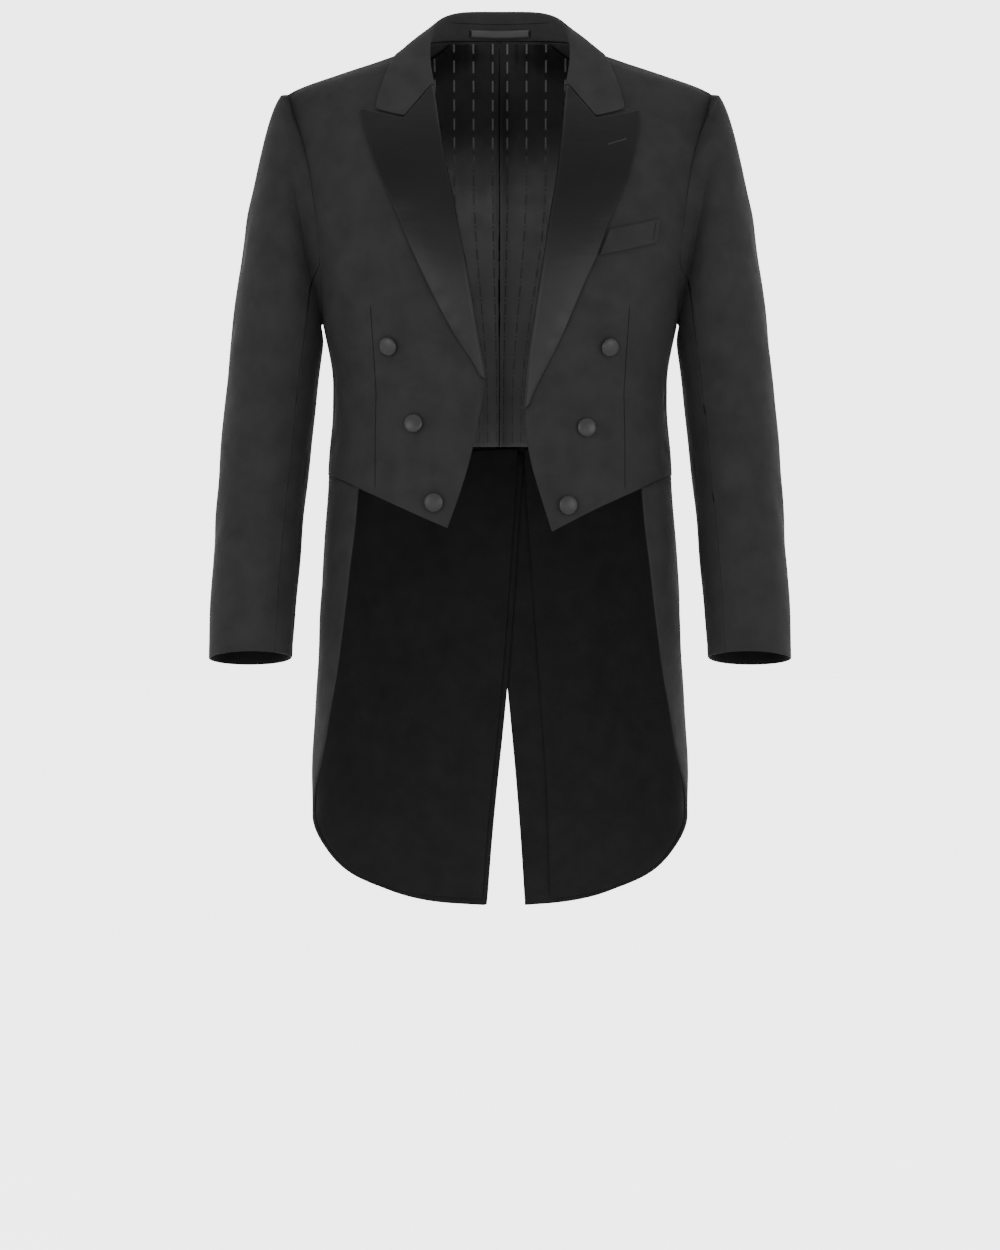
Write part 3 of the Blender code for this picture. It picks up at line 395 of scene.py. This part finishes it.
def lining_finish(name, tone):
    """Satin lining with woven broken stripes and a small diamond between the dashes, with painted shade at
    its top and towards its hem, and a painted reflection that turns the dashes light above and dark below.
    """
    made = Finish(name)
    axes = made.add("ShaderNodeSeparateXYZ")
    made.link(made.place, axes.inputs[0])
    x, z = axes.outputs["X"], axes.outputs["Z"]
    squeeze = made.between(z, -0.430, -0.150, 0.46, 1.0)
    column = made.math("DIVIDE", made.math("ABSOLUTE", x), squeeze)
    pitch, first_column = 0.0219, 0.0083
    shifted = made.math("ADD", column, pitch * 1.5 - first_column)
    across = made.math("SUBTRACT", made.math("FRACT", made.math("DIVIDE", shifted, pitch)), 0.5)
    across = made.math("MULTIPLY", made.math("ABSOLUTE", across), pitch)
    period, dash_half = 0.0210, 0.0064
    along = made.math("SUBTRACT", made.math("FRACT", made.math("DIVIDE", z, period)), 0.5)
    along = made.math("MULTIPLY", made.math("ABSOLUTE", along), period)
    stripe = made.between(across, 0.0007, 0.0013, 1.0, 0.0)
    dash_run = made.between(along, dash_half - 0.0003, dash_half + 0.0003, 1.0, 0.0)
    dash = made.math("MULTIPLY", stripe, dash_run)
    reach = made.math("ADD", across, made.math("SUBTRACT", period / 2, along))
    diamond = made.between(reach, 0.0012, 0.0019, 1.0, 0.0)
    mottle = made.noise(18.0, 3.0, (1.0, 1.0, 0.35))
    woven = made.ramp(mottle, ((0.30, grey(tone * 0.80)), (0.72, grey(tone * 1.25))))
    # Painted shade: the lining's ground is painted darker towards its hem.
    ground = made.mix(made.between(z, -0.420, -0.300, 0.50, 0.0), woven, grey(tone * 0.40))
    # Painted reflection: the dashes are painted lighter than the ground above and darker below, as light
    # catches the woven stripes.
    upper = made.between(z, -0.150, -0.105, 0.0, 1.0)
    dash_colour_with_painted_reflection = made.mix(upper, grey(tone * 0.30), grey(tone * 3.0))
    dashed = made.mix(dash, ground, dash_colour_with_painted_reflection)
    patterned = made.mix(diamond, dashed, grey(tone * 0.35))
    # Painted shade: the lining is painted darker towards its top, under the collar, a little less on the
    # dashes.
    shade = made.math("MULTIPLY", made.between(z, -0.230, -0.090, 0.0, 0.90),
                      made.math("SUBTRACT", 1.0, made.math("MULTIPLY", dash, 0.35)))
    shaded = made.mix(shade, patterned, grey(tone * 0.03))
    made.link(shaded, made.shader.inputs["Base Color"])
    made.link(made.between(made.noise(40.0, 3.0), 0.3, 0.7, 0.36, 0.48), made.shader.inputs["Roughness"])
    twill = made.bump(made.wave(520.0, "DIAGONAL", 0.4), 0.00006, 0.4)
    raised = made.bump(dash, 0.00012, 0.6, twill)
    soft = made.bump(made.noise(24.0, 3.0, (1.0, 1.0, 0.4)), 0.0009, 0.40, raised)
    made.link(soft, made.shader.inputs["Normal"])
    made.link(made.between(z, -0.200, -0.080, 1.22, 1.10), made.shader.inputs["IOR"])
    made.constant(sheen_weight=0.02, sheen_roughness=0.35, anisotropic=0.3)
    return made.material


def thread_finish(name, tone):
    """Twisted sewing thread."""
    made = Finish(name)
    twist = made.wave(900.0, "DIAGONAL", 0.5)
    strands = made.ramp(twist, ((0.2, grey(tone * 0.7)), (0.8, grey(tone * 1.3))))
    made.link(strands, made.shader.inputs["Base Color"])
    made.link(made.bump(twist, 0.0001, 0.6), made.shader.inputs["Normal"])
    made.constant(roughness=0.8, ior=1.08)
    return made.material


def floor_finish():
    """Matt white paper."""
    made = Finish("floor_paper")
    made.link(made.ramp(made.noise(3.0, 4.0), ((0.3, (0.87, 0.87, 0.87)), (0.7, (0.90, 0.90, 0.90)))),
              made.shader.inputs["Base Color"])
    made.link(made.bump(made.noise(300.0, 3.0), 0.0003, 0.2), made.shader.inputs["Normal"])
    made.constant(roughness=0.92, emission_color=(1.0, 1.0, 1.0, 1.0), emission_strength=0.58)
    return made.material


FINISHES = {
    "wool": wool_finish("wool_twill", 0.0056),
    "collar": wool_finish("collar_twill", 0.0064),
    # The lapel satin's second tone paints its lower part lighter, a painted highlight.
    "satin": satin_finish("lapel_satin", 0.0009, 0.0052, 0.34, 0.0011),
    "button": satin_finish("button_satin", 0.0036, 0.0036, 0.34, 0.0003, 1.20),
    "loop": satin_finish("loop_satin", 0.0085, 0.0085, 0.36, 0.0004, 1.16),
    "lining": lining_finish("lining_satin", 0.0170),
    # The same wool, darker as painted shade, for the tail linings and the faces that look into the coat.
    "tail_lining": wool_finish("inside_twill_painted_shade", 0.0026),
    "seam": thread_finish("seam_thread", 0.0012),
    "piping": satin_finish("piping_satin", 0.2200, 0.2200, 0.40, 0.0002),
}


# Creases

def body_places(points):
    """Side, angle round the body, and outward direction."""
    across = points[:, 0] / BODY_HALF_WIDTH
    along = points[:, 1] / BODY_HALF_DEPTH
    angle = np.degrees(np.arctan2(np.abs(across), -along))
    out = np.stack((across / BODY_HALF_WIDTH, along / BODY_HALF_DEPTH, np.zeros(len(points))), axis=1)
    out /= np.maximum(np.linalg.norm(out, axis=1, keepdims=True), 1e-6)
    return np.where(points[:, 0] < 0, -1, 1), angle, out


def sleeve_places(points):
    """Side, angle round the sleeve, and outward direction."""
    share = (points[:, 2] - SLEEVE_TOP[0]) / (SLEEVE_CUFF[0] - SLEEVE_TOP[0])
    side = np.where(points[:, 0] < 0, -1, 1)
    middle_x = SLEEVE_TOP[1] + (SLEEVE_CUFF[1] - SLEEVE_TOP[1]) * share
    middle_y = SLEEVE_TOP[2] + (SLEEVE_CUFF[2] - SLEEVE_TOP[2]) * share
    across = points[:, 0] * side - middle_x
    along = points[:, 1] - middle_y
    angle = np.degrees(np.arctan2(along, across))
    out = np.stack((across * side, along, np.zeros(len(points))), axis=1)
    out /= np.maximum(np.linalg.norm(out, axis=1, keepdims=True), 1e-6)
    return side, angle, out


def crease_depth(angle, height, table, arc):
    """Movement outward that a table of creases gives: a trough with a raised lip beside it."""
    moved = np.zeros(len(angle))
    for angle_0, height_0, angle_1, height_1, width, depth, bow in table:
        run = np.array(((angle_1 - angle_0) * arc, height_1 - height_0))
        length = np.linalg.norm(run)
        run /= length
        from_x = (angle - angle_0) * arc
        from_z = height - height_0
        share = (from_x * run[0] + from_z * run[1]) / length
        off = (from_z * run[0] - from_x * run[1] - bow * 4 * share * (1 - share)) / width
        fade = smoothstep(share / 0.35) * smoothstep((1 - share) / 0.35)
        moved -= depth * fade * (np.exp(-off ** 2) - 0.55 * np.exp(-((off - 1.7) / 1.2) ** 2))
    return moved


def swell(angle, height, arc):
    moved = np.zeros(len(angle))
    for size, round_waves, height_waves, phase in SWELL:
        moved += size * np.sin(round_waves * angle * arc + height_waves * height + phase)
    return moved


def armhole_share(angle, height):
    """0 at the armhole and 1 away from it, on the body."""
    away = np.sqrt(((angle - 89.0) / 38.0) ** 2 + ((height + 0.200) / 0.160) ** 2)
    return smoothstep((away - 1.0) / 0.35)


def sleeve_share(angle, height):
    """0 at the armhole and 1 away from it, on the sleeve."""
    start = 0.36 - 0.22 * np.maximum(np.cos(np.radians(angle)), 0.0)
    return smoothstep((-height - start) / 0.08)


def creased(name, points):
    """Points of a piece of cloth after its creases."""
    if "sleeve" in name:
        side, angle, out = sleeve_places(points)
        tables, arc, share = SLEEVE_CREASES, SLEEVE_ARC, sleeve_share(angle, points[:, 2])
    else:
        side, angle, out = body_places(points)
        tables, arc, share = BODY_CREASES, BODY_ARC, armhole_share(angle, points[:, 2])
    moved = swell(angle, points[:, 2], arc)
    for which in (-1, 1):
        chosen = side == which
        moved[chosen] += crease_depth(angle[chosen], points[chosen, 2], tables[which], arc)
        if name.startswith("lapel"):
            moved[chosen] += crease_depth(angle[chosen], points[chosen, 2], LAPEL_CREASES[which], arc)
    moved *= share
    if name in ("collar", "hanger_loop"):
        moved *= smoothstep((-points[:, 2] - 0.02) / 0.06)
    if name == "back_lining":
        fade = np.exp(points[:, 2] / LINING_GATHER_FADE)
        for x, width, depth in LINING_GATHERS:
            moved -= depth * fade * np.exp(-((points[:, 0] - x) / width) ** 2)
        x, z = points[:, 0], points[:, 2]
        fold = np.clip(1 - np.abs(x) / PLEAT_REACH, 0.0, 1.0) ** 2 * np.clip(-(z + 0.005) / 0.05, 0.0, 1.0)
        moved += PLEAT_DEPTH * fold * smoothstep(-x / PLEAT_STEP)
    return points + out * moved[:, None]


# Cloth shells

def mesh_points(mesh):
    flat = np.empty(len(mesh.vertices) * 3)
    mesh.vertices.foreach_get("co", flat)
    return flat.reshape(-1, 3)


def neighbour_tree(name, kinds=""):
    """Search tree over the faces of every other piece of cloth of some kinds."""
    points, faces = [], []
    for row in CLOTH:
        if row[0] == name or not row[0].startswith(kinds):
            continue
        mesh = NODES[row[0]].data
        start = len(points)
        points += [vertex.co.copy() for vertex in mesh.vertices]
        faces += [[start + i for i in face.vertices] for face in mesh.polygons]
    return BVHTree.FromPolygons(points, faces)


def rim_loop(maker):
    """Edges that run through the wall along its rim, in order."""
    through = {edge for edge in maker.edges if edge.calc_length() < THROUGH_EDGE}
    rims = [face for face in maker.faces
            if len(face.verts) == 4 and sum(e in through for e in face.edges) == 2]
    if not rims:
        return []
    first = next(edge for edge in rims[0].edges if edge in through)
    loop, edge, face = [first], first, rims[0]
    while True:
        edge = next(e for e in face.edges if e in through and e is not edge)
        if edge is first or len(loop) > len(rims):
            return loop
        loop.append(edge)
        following = [f for f in edge.link_faces if f is not face and f in rims]
        if not following:
            return loop
        face = following[0]


def sharp_turns(points):
    """Whether the line turns sharply at each point of a closed loop."""
    sharp = []
    for i, point in enumerate(points):
        before, after = point - points[i - 1], points[(i + 1) % len(points)] - point
        sharp.append(before.angle(after, 0.0) > SHARP_TURN)
    return sharp


def seam_cord(points, sharp, near):
    """Runs of points on the smooth line through a rim, where it meets another piece."""
    knots = [p for point, corner in zip(points, sharp) for p in [point] * (3 if corner else 1)]
    runs, run = [], []
    count = len(knots)
    for i in range(count):
        a, b, c, d = (knots[(i + k) % count] for k in range(4))
        close = near.find_nearest((b + c) / 2, CORD_REACH)[0] is not None
        if close and (c - b).length > 1e-6:
            for t in (0.0, 0.25, 0.5, 0.75, 1.0):
                weights = ((1 - t) ** 3, 3 * t ** 3 - 6 * t ** 2 + 4,
                           -3 * t ** 3 + 3 * t ** 2 + 3 * t + 1, t ** 3)
                place = sum((p * w for p, w in zip((a, b, c, d), weights)), Vector()) / 6
                if not run or (place - run[-1]).length > 1e-5:
                    run.append(place)
        elif run and not close:
            runs.append(run)
            run = []
    if run:
        runs.append(run)
    return [r for r in runs if len(r) > 2]


def shell(name, levels):
    """Smooth, finer copy of a CAD wall: crisp at its seams, soft at its free edges."""
    maker = bmesh.new()
    maker.from_mesh(NODES[name].data)
    bmesh.ops.remove_doubles(maker, verts=maker.verts, dist=1e-5)
    bmesh.ops.join_triangles(maker, faces=maker.faces, angle_face_threshold=math.radians(40.0),
                             angle_shape_threshold=math.pi)
    near = neighbour_tree(name)
    crease = maker.edges.layers.float.new("crease_edge")
    for edge in maker.edges:
        if edge.calc_face_angle(0.0) < RIM_ANGLE:
            continue
        middle = (edge.verts[0].co + edge.verts[1].co) / 2
        seam = near.find_nearest(middle, SEAM_REACH)[0] is not None
        folded = name.startswith(FOLDED_CLOTH)
        soft = FOLDED_EDGE_CREASE if folded else FREE_EDGE_CREASE
        edge[crease] = 1.0 if seam and not folded else soft
    cords = []
    if name.startswith(OUTER_CLOTH):
        loop = rim_loop(maker)
        middles = [(edge.verts[0].co + edge.verts[1].co) / 2 for edge in loop]
        sharp = sharp_turns(middles)
        corner = maker.verts.layers.float.new("crease_vert")
        for edge, turned in zip(loop, sharp):
            for vertex in edge.verts:
                vertex[corner] = 1.0 if turned else 0.0
        cords = seam_cord(middles, sharp, neighbour_tree(name, OUTER_CLOTH))
    rough = bpy.data.meshes.new(name + "_rough")
    maker.to_mesh(rough)
    maker.free()
    made = bpy.data.objects.new(name + "_cloth", rough)
    bpy.context.scene.collection.objects.link(made)
    finer = made.modifiers.new("finer", "SUBSURF")
    finer.levels = finer.render_levels = levels
    depsgraph = bpy.context.evaluated_depsgraph_get()
    fine = bpy.data.meshes.new_from_object(made.evaluated_get(depsgraph))
    made.modifiers.clear()
    made.data = fine
    bpy.data.meshes.remove(rough)
    fine.vertices.foreach_set("co", creased(name, mesh_points(fine)).ravel())
    fine.materials.clear()
    fine.shade_smooth()
    fine.update()
    return made, cords


def paint_inside_shade(name, piece):
    """Gives the faces that look into the coat the darker wool, painted shade for the hollow inside."""
    piece.data.materials.append(FINISHES["tail_lining"])
    centres = np.array([face.center for face in piece.data.polygons])
    normals = np.array([face.normal for face in piece.data.polygons])
    out = (sleeve_places if "sleeve" in name else body_places)(centres)[2]
    inward = (normals * out).sum(axis=1) < -INSIDE_SHARE
    if name.startswith("back"):
        inward &= centres[:, 2] < DARK_BACK_TOP
    piece.data.polygons.foreach_set("material_index", inward.astype(np.int32))


def finish(piece, node, kind):
    piece.data.materials.append(FINISHES[kind])
    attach(piece, "root")
    if node:
        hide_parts(node)
    return piece


def make_cloth():
    shells = {}
    for name, kind, slot, levels, width, length, area in CLOTH:
        piece, cords = shell(name, levels)
        finish(piece, name, kind)
        if cords:
            make_seam_cord(name, cords)
        if name.startswith(OUTER_CLOTH):
            paint_inside_shade(name, piece)
        shells[name] = piece
    return shells


def inner_tree(*pieces):
    """Search tree over the faces that look towards the middle of the coat."""
    points, faces = [], []
    for piece in pieces:
        start = len(points)
        points += [vertex.co.copy() for vertex in piece.data.vertices]
        for face in piece.data.polygons:
            if face.normal.dot(COAT_MIDDLE - face.center) > 0:
                faces.append([start + i for i in face.vertices])
    return BVHTree.FromPolygons(points, faces)


def keep_lining_inside(shells):
    """Moves the back lining in where it would reach the backs."""
    backs = inner_tree(shells["back_right"], shells["back_left"])
    mesh = shells["back_lining"].data
    for vertex in mesh.vertices:
        place, normal, _, _ = backs.find_nearest(vertex.co, LINING_REACH)
        if place is None:
            continue
        under = (vertex.co - place).dot(normal)
        clearance = LINING_CLEARANCE * (1.0 if vertex.normal.dot(normal) < 0 else LINING_CLEARANCE_SHARE)
        if under < clearance:
            vertex.co += normal * (clearance - under)
    mesh.update()


# Sewing, placed on the finished shells

def tree_of(*pieces):
    points, faces = [], []
    for piece in pieces:
        start = len(points)
        points += [vertex.co.copy() for vertex in piece.data.vertices]
        faces += [[start + i for i in face.vertices] for face in piece.data.polygons]
    return BVHTree.FromPolygons(points, faces)


def front_point(tree, x, z):
    """Foremost point of the cloth at x and a height, and its outward direction."""
    point, normal, _, _ = tree.ray_cast(Vector((x, -1.0, z)), Vector((0.0, 1.0, 0.0)))
    if normal.y > 0:
        normal = -normal
    return point, normal


def between_points(rows, step):
    """Points a step apart along a line of rows."""
    rows = np.asarray(rows, float)
    length = np.concatenate(((0.0,), np.cumsum(np.linalg.norm(np.diff(rows, axis=0), axis=1))))
    count = max(2, int(round(length[-1] / step)) + 1)
    stops = np.linspace(0.0, length[-1], count)
    return [tuple(np.interp(at, length, column) for column in rows.T) for at in stops]


def add_piece(name, maker, kind):
    mesh = bpy.data.meshes.new(name)
    bmesh.ops.recalc_face_normals(maker, faces=maker.faces)
    maker.to_mesh(mesh)
    maker.free()
    mesh.shade_smooth()
    made = bpy.data.objects.new(name, mesh)
    bpy.context.scene.collection.objects.link(made)
    return finish(made, None, kind)


def tube(maker, points, radius, sides=6):
    """Closed tube along points, of one radius or one for each point, narrowed at both ends."""
    rings = []
    radii = radius if isinstance(radius, list) else [radius] * len(points)
    for i, point in enumerate(points):
        run = (points[min(i + 1, len(points) - 1)] - points[max(i - 1, 0)]).normalized()
        across = run.cross(Vector((0.31, -0.9, 0.24))).normalized()
        up = across.cross(run)
        size = radii[i] * (0.35 if i in (0, len(points) - 1) else 1.0)
        turns = [2 * math.pi * k / sides for k in range(sides)]
        rings.append([maker.verts.new(point + (across * math.cos(t) + up * math.sin(t)) * size)
                      for t in turns])
    for low, high in zip(rings, rings[1:]):
        for k in range(sides):
            maker.faces.new((low[k], low[(k + 1) % sides], high[(k + 1) % sides], high[k]))
    maker.faces.new(rings[0][::-1])
    maker.faces.new(rings[-1])


def make_seam_cord(name, runs):
    """Dark turned-in edge of the cloth that closes the seam beside it."""
    maker = bmesh.new()
    for run in runs:
        moved = creased(name, np.array([tuple(point) for point in run]))
        tube(maker, [Vector(point) for point in moved], SEAM_CORD)
    add_piece(name + "_seam", maker, "seam")


def seam_line(name, tree, rows, radius, kind, lift=0.0):
    """Thin cord of thread let into the cloth along a line."""
    maker = bmesh.new()
    points = []
    for x, z in between_points(rows, 0.004):
        point, normal = front_point(tree, x, z)
        points.append(point + normal * lift)
    tube(maker, points, radius)
    add_piece(name, maker, kind)


def stitches(name, tree, ends, radius, kind, arch=0.0002):
    """Short threads between pairs of places, arched off the cloth."""
    maker = bmesh.new()
    for (x_0, z_0), (x_1, z_1) in ends:
        points = []
        for share in (0.0, 0.25, 0.5, 0.75, 1.0):
            point, normal = front_point(tree, x_0 + (x_1 - x_0) * share, z_0 + (z_1 - z_0) * share)
            points.append(point + normal * (arch * math.sin(math.pi * share)))
        tube(maker, points, radius)
    add_piece(name, maker, kind)


def make_darts(shells):
    for side, label in ((-1, "right"), (1, "left")):
        tree = tree_of(shells["forepart_" + label])
        rows = [(side * x, z) for x, z in FRONT_DART]
        seam_line("dart_" + label, tree, rows, DART_THREAD, "seam", -0.00012)


def make_pleat_shadow(shells):
    """Dark cord in the step of the lining's pleat, a painted shadow under its fold, widest at the waist."""
    tree = tree_of(shells["back_lining"])
    maker = bmesh.new()
    points, radii = [], []
    for x, z, radius in between_points(PLEAT_SHADOW_LINE, 0.006):
        point, normal = front_point(tree, x, z)
        points.append(point - normal * radius * 0.55)
        radii.append(radius)
    tube(maker, points, radii, 8)
    add_piece("pleat_shadow_cord", maker, "seam")


def make_buttonhole(shells):
    """Worked buttonhole: close stitches across the slit and a bar at its outer end."""
    tree = tree_of(shells["lapel_left"])
    start, end = (np.array(p) for p in BUTTONHOLE)
    run = (end - start) / np.linalg.norm(end - start)
    across = np.array((-run[1], run[0]))
    ends = []
    for share in np.linspace(0.0, 1.0, 20):
        middle = start + (end - start) * share
        lean = run * 0.0003
        ends.append((middle - across * 0.0011 - lean, middle + across * 0.0011 + lean))
    for place, reach in ((start, 0.0016), (end, 0.0020)):
        ends.append((place - across * reach, place + across * reach))
    stitches("lapel_buttonhole", tree, ends, THREAD, "loop", 0.0004)


def make_welt_stitches(shells):
    tree = tree_of(shells["breast_welt"], shells["forepart_left"])
    seam_line("welt_end_seam", tree, WELT_END_STITCH, THREAD, "seam", -0.00004)


def make_collar_stitches(shells):
    tree = tree_of(shells["collar"])
    seam_line("collar_stand_seam", tree, COLLAR_STITCH, THREAD, "seam", -0.00006)


def inner_point(tree, x, z):
    """Point on the face that looks into the coat at x and a height, and its direction inward."""
    point, normal, _, _ = tree.ray_cast(Vector((x, 0.0, z)), Vector((0.0, -1.0, 0.0)))
    if point is None:
        return None, None
    if normal.y < 0:
        normal = -normal
    return point, normal


def inner_line(maker, tree, rows, step, radius, lift=0.0):
    """Cord along a line on the inside, left out where there is no cloth."""
    points = []
    for x, z in between_points(rows, step):
        point, normal = inner_point(tree, x, z)
        if point is not None:
            points.append(point + normal * lift)
    if len(points) > 1:
        tube(maker, points, radius)


def make_inside_fronts(shells):
    """Piping with pick stitches along the lining's edge, and two jetted pockets with worked ends."""
    for side, label in ((-1, "right"), (1, "left")):
        tree = tree_of(shells["forepart_" + label], shells["facing_" + label])
        piping, picks, jets, ends = (bmesh.new() for _ in range(4))
        inner_line(piping, tree, [(side * x, z) for x, z in PIPING_LINE], 0.004, PIPING_CORD)
        for x, z in between_points([(side * (x - PIPING_STITCH_GAP), z) for x, z in PIPING_LINE], 0.0075):
            inner_line(picks, tree, ((x, z - 0.0006), (x, z + 0.0006)), 0.0006, THREAD)
        for start, end in INSIDE_POCKETS:
            for shift in (-POCKET_JET, 0.0, POCKET_JET):
                rows = [(side * x, z + shift) for x, z in (start, end)]
                inner_line(jets, tree, rows, 0.004, JET_CORD if shift else THREAD)
            for x, z in (start, end):
                rows = ((side * x, z - POCKET_JET * 1.3), (side * x, z + POCKET_JET * 1.3))
                inner_line(ends, tree, rows, 0.002, POCKET_TACK, 0.0002)
        add_piece("piping_" + label, piping, "piping")
        add_piece("piping_stitches_" + label, picks, "piping")
        add_piece("pocket_jets_" + label, jets, "lining")
        add_piece("pocket_tacks_" + label, ends, "piping")


def make_loop_tacks(shells):
    tree = tree_of(shells["hanger_loop"], shells["collar"], shells["back_lining"])
    ends = []
    for x, low, high in LOOP_TACKS:
        for shift in (-0.0009, 0.0, 0.0009):
            ends.append(((x + shift, low - 0.0008), (x + shift, high + 0.0008)))
    stitches("loop_tacks", tree, ends, TACK_THREAD, "seam", 0.0003)


def make_buttons(shells):
    """Domes covered in satin, each leaning a little its own way."""
    for name, (side, x, z, tilt_up, tilt_aside) in BUTTONS.items():
        tree = tree_of(shells["forepart_left" if side > 0 else "forepart_right"])
        spots = [front_point(tree, side * x + dx, z + dz)
                 for dx in (-0.006, 0, 0.006) for dz in (-0.006, 0, 0.006)]
        normal = sum((n for _, n in spots), Vector()).normalized()
        centre = front_point(tree, side * x, z)[0]
        across = Vector((0.0, 0.0, 1.0)).cross(normal).normalized()
        up = normal.cross(across)
        lean = (Matrix.Rotation(math.radians(tilt_up), 3, across)
                @ Matrix.Rotation(math.radians(tilt_aside), 3, up))
        axis = lean @ normal
        across, up = lean @ across, lean @ up
        lift = BUTTON_PROFILE[2][0] * math.sin(math.radians(math.hypot(tilt_up, tilt_aside))) * 0.8
        maker = bmesh.new()
        rings = []
        for radius, distance in BUTTON_PROFILE:
            ring = []
            for i in range(BUTTON_SIDES):
                turn = 2 * math.pi * i / BUTTON_SIDES
                gather = 1.0 + 0.004 * math.sin(11 * turn) * (distance < 0.0015)
                spoke = across * math.cos(turn) + up * math.sin(turn)
                ring.append(maker.verts.new(centre + axis * (distance + lift) + spoke * radius * gather))
            rings.append(ring)
        maker.faces.new(rings[0][::-1])
        for low, high in zip(rings, rings[1:]):
            for i in range(BUTTON_SIDES):
                j = (i + 1) % BUTTON_SIDES
                maker.faces.new((low[i], low[j], high[j], high[i]))
        maker.faces.new(rings[-1])
        piece = add_piece(name + "_cover", maker, "button")
        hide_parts(name)


# Studio

def make_floor():
    """Plain pale floor."""
    maker = bmesh.new()
    corners = ((-FLOOR_REACH, -FLOOR_REACH), (FLOOR_REACH, -FLOOR_REACH), (FLOOR_REACH, FLOOR_REACH),
               (-FLOOR_REACH, FLOOR_REACH))
    maker.faces.new([maker.verts.new((x, y, FLOOR_HEIGHT)) for x, y in corners])
    mesh = bpy.data.meshes.new("floor")
    maker.to_mesh(mesh)
    maker.free()
    mesh.materials.append(floor_finish())
    made = bpy.data.objects.new("floor", mesh)
    bpy.context.scene.collection.objects.link(made)


def make_lights():
    for name, place, size, watts in LIGHTS:
        data = bpy.data.lights.new(name, "AREA")
        data.shape = "SQUARE"
        data.size = size
        data.energy = watts
        lamp = bpy.data.objects.new(name, data)
        lamp.location = place
        aim = Vector(LIGHT_TARGET) - Vector(place)
        lamp.rotation_euler = aim.to_track_quat("-Z", "Y").to_euler()
        bpy.context.scene.collection.objects.link(lamp)
    world = bpy.data.worlds.new("studio")
    world.use_nodes = True
    background = world.node_tree.nodes["Background"]
    background.inputs["Color"].default_value = (1.0, 1.0, 1.0, 1.0)
    background.inputs["Strength"].default_value = WORLD_STRENGTH
    bpy.context.scene.world = world


def make_camera():
    data = bpy.data.cameras.new("camera")
    data.sensor_width = SENSOR
    data.lens = SENSOR * CAMERA_DISTANCE / FRAME_HEIGHT
    camera = bpy.data.objects.new("camera", data)
    camera.location = (0.0, -CAMERA_DISTANCE, CAMERA_HEIGHT)
    camera.rotation_euler = (math.pi / 2, 0.0, 0.0)
    bpy.context.scene.collection.objects.link(camera)
    bpy.context.scene.camera = camera


SHELLS = make_cloth()
keep_lining_inside(SHELLS)
make_buttons(SHELLS)
make_darts(SHELLS)
make_pleat_shadow(SHELLS)
make_buttonhole(SHELLS)
make_welt_stitches(SHELLS)
make_collar_stitches(SHELLS)
make_loop_tacks(SHELLS)
make_inside_fronts(SHELLS)
make_floor()
make_lights()
make_camera()
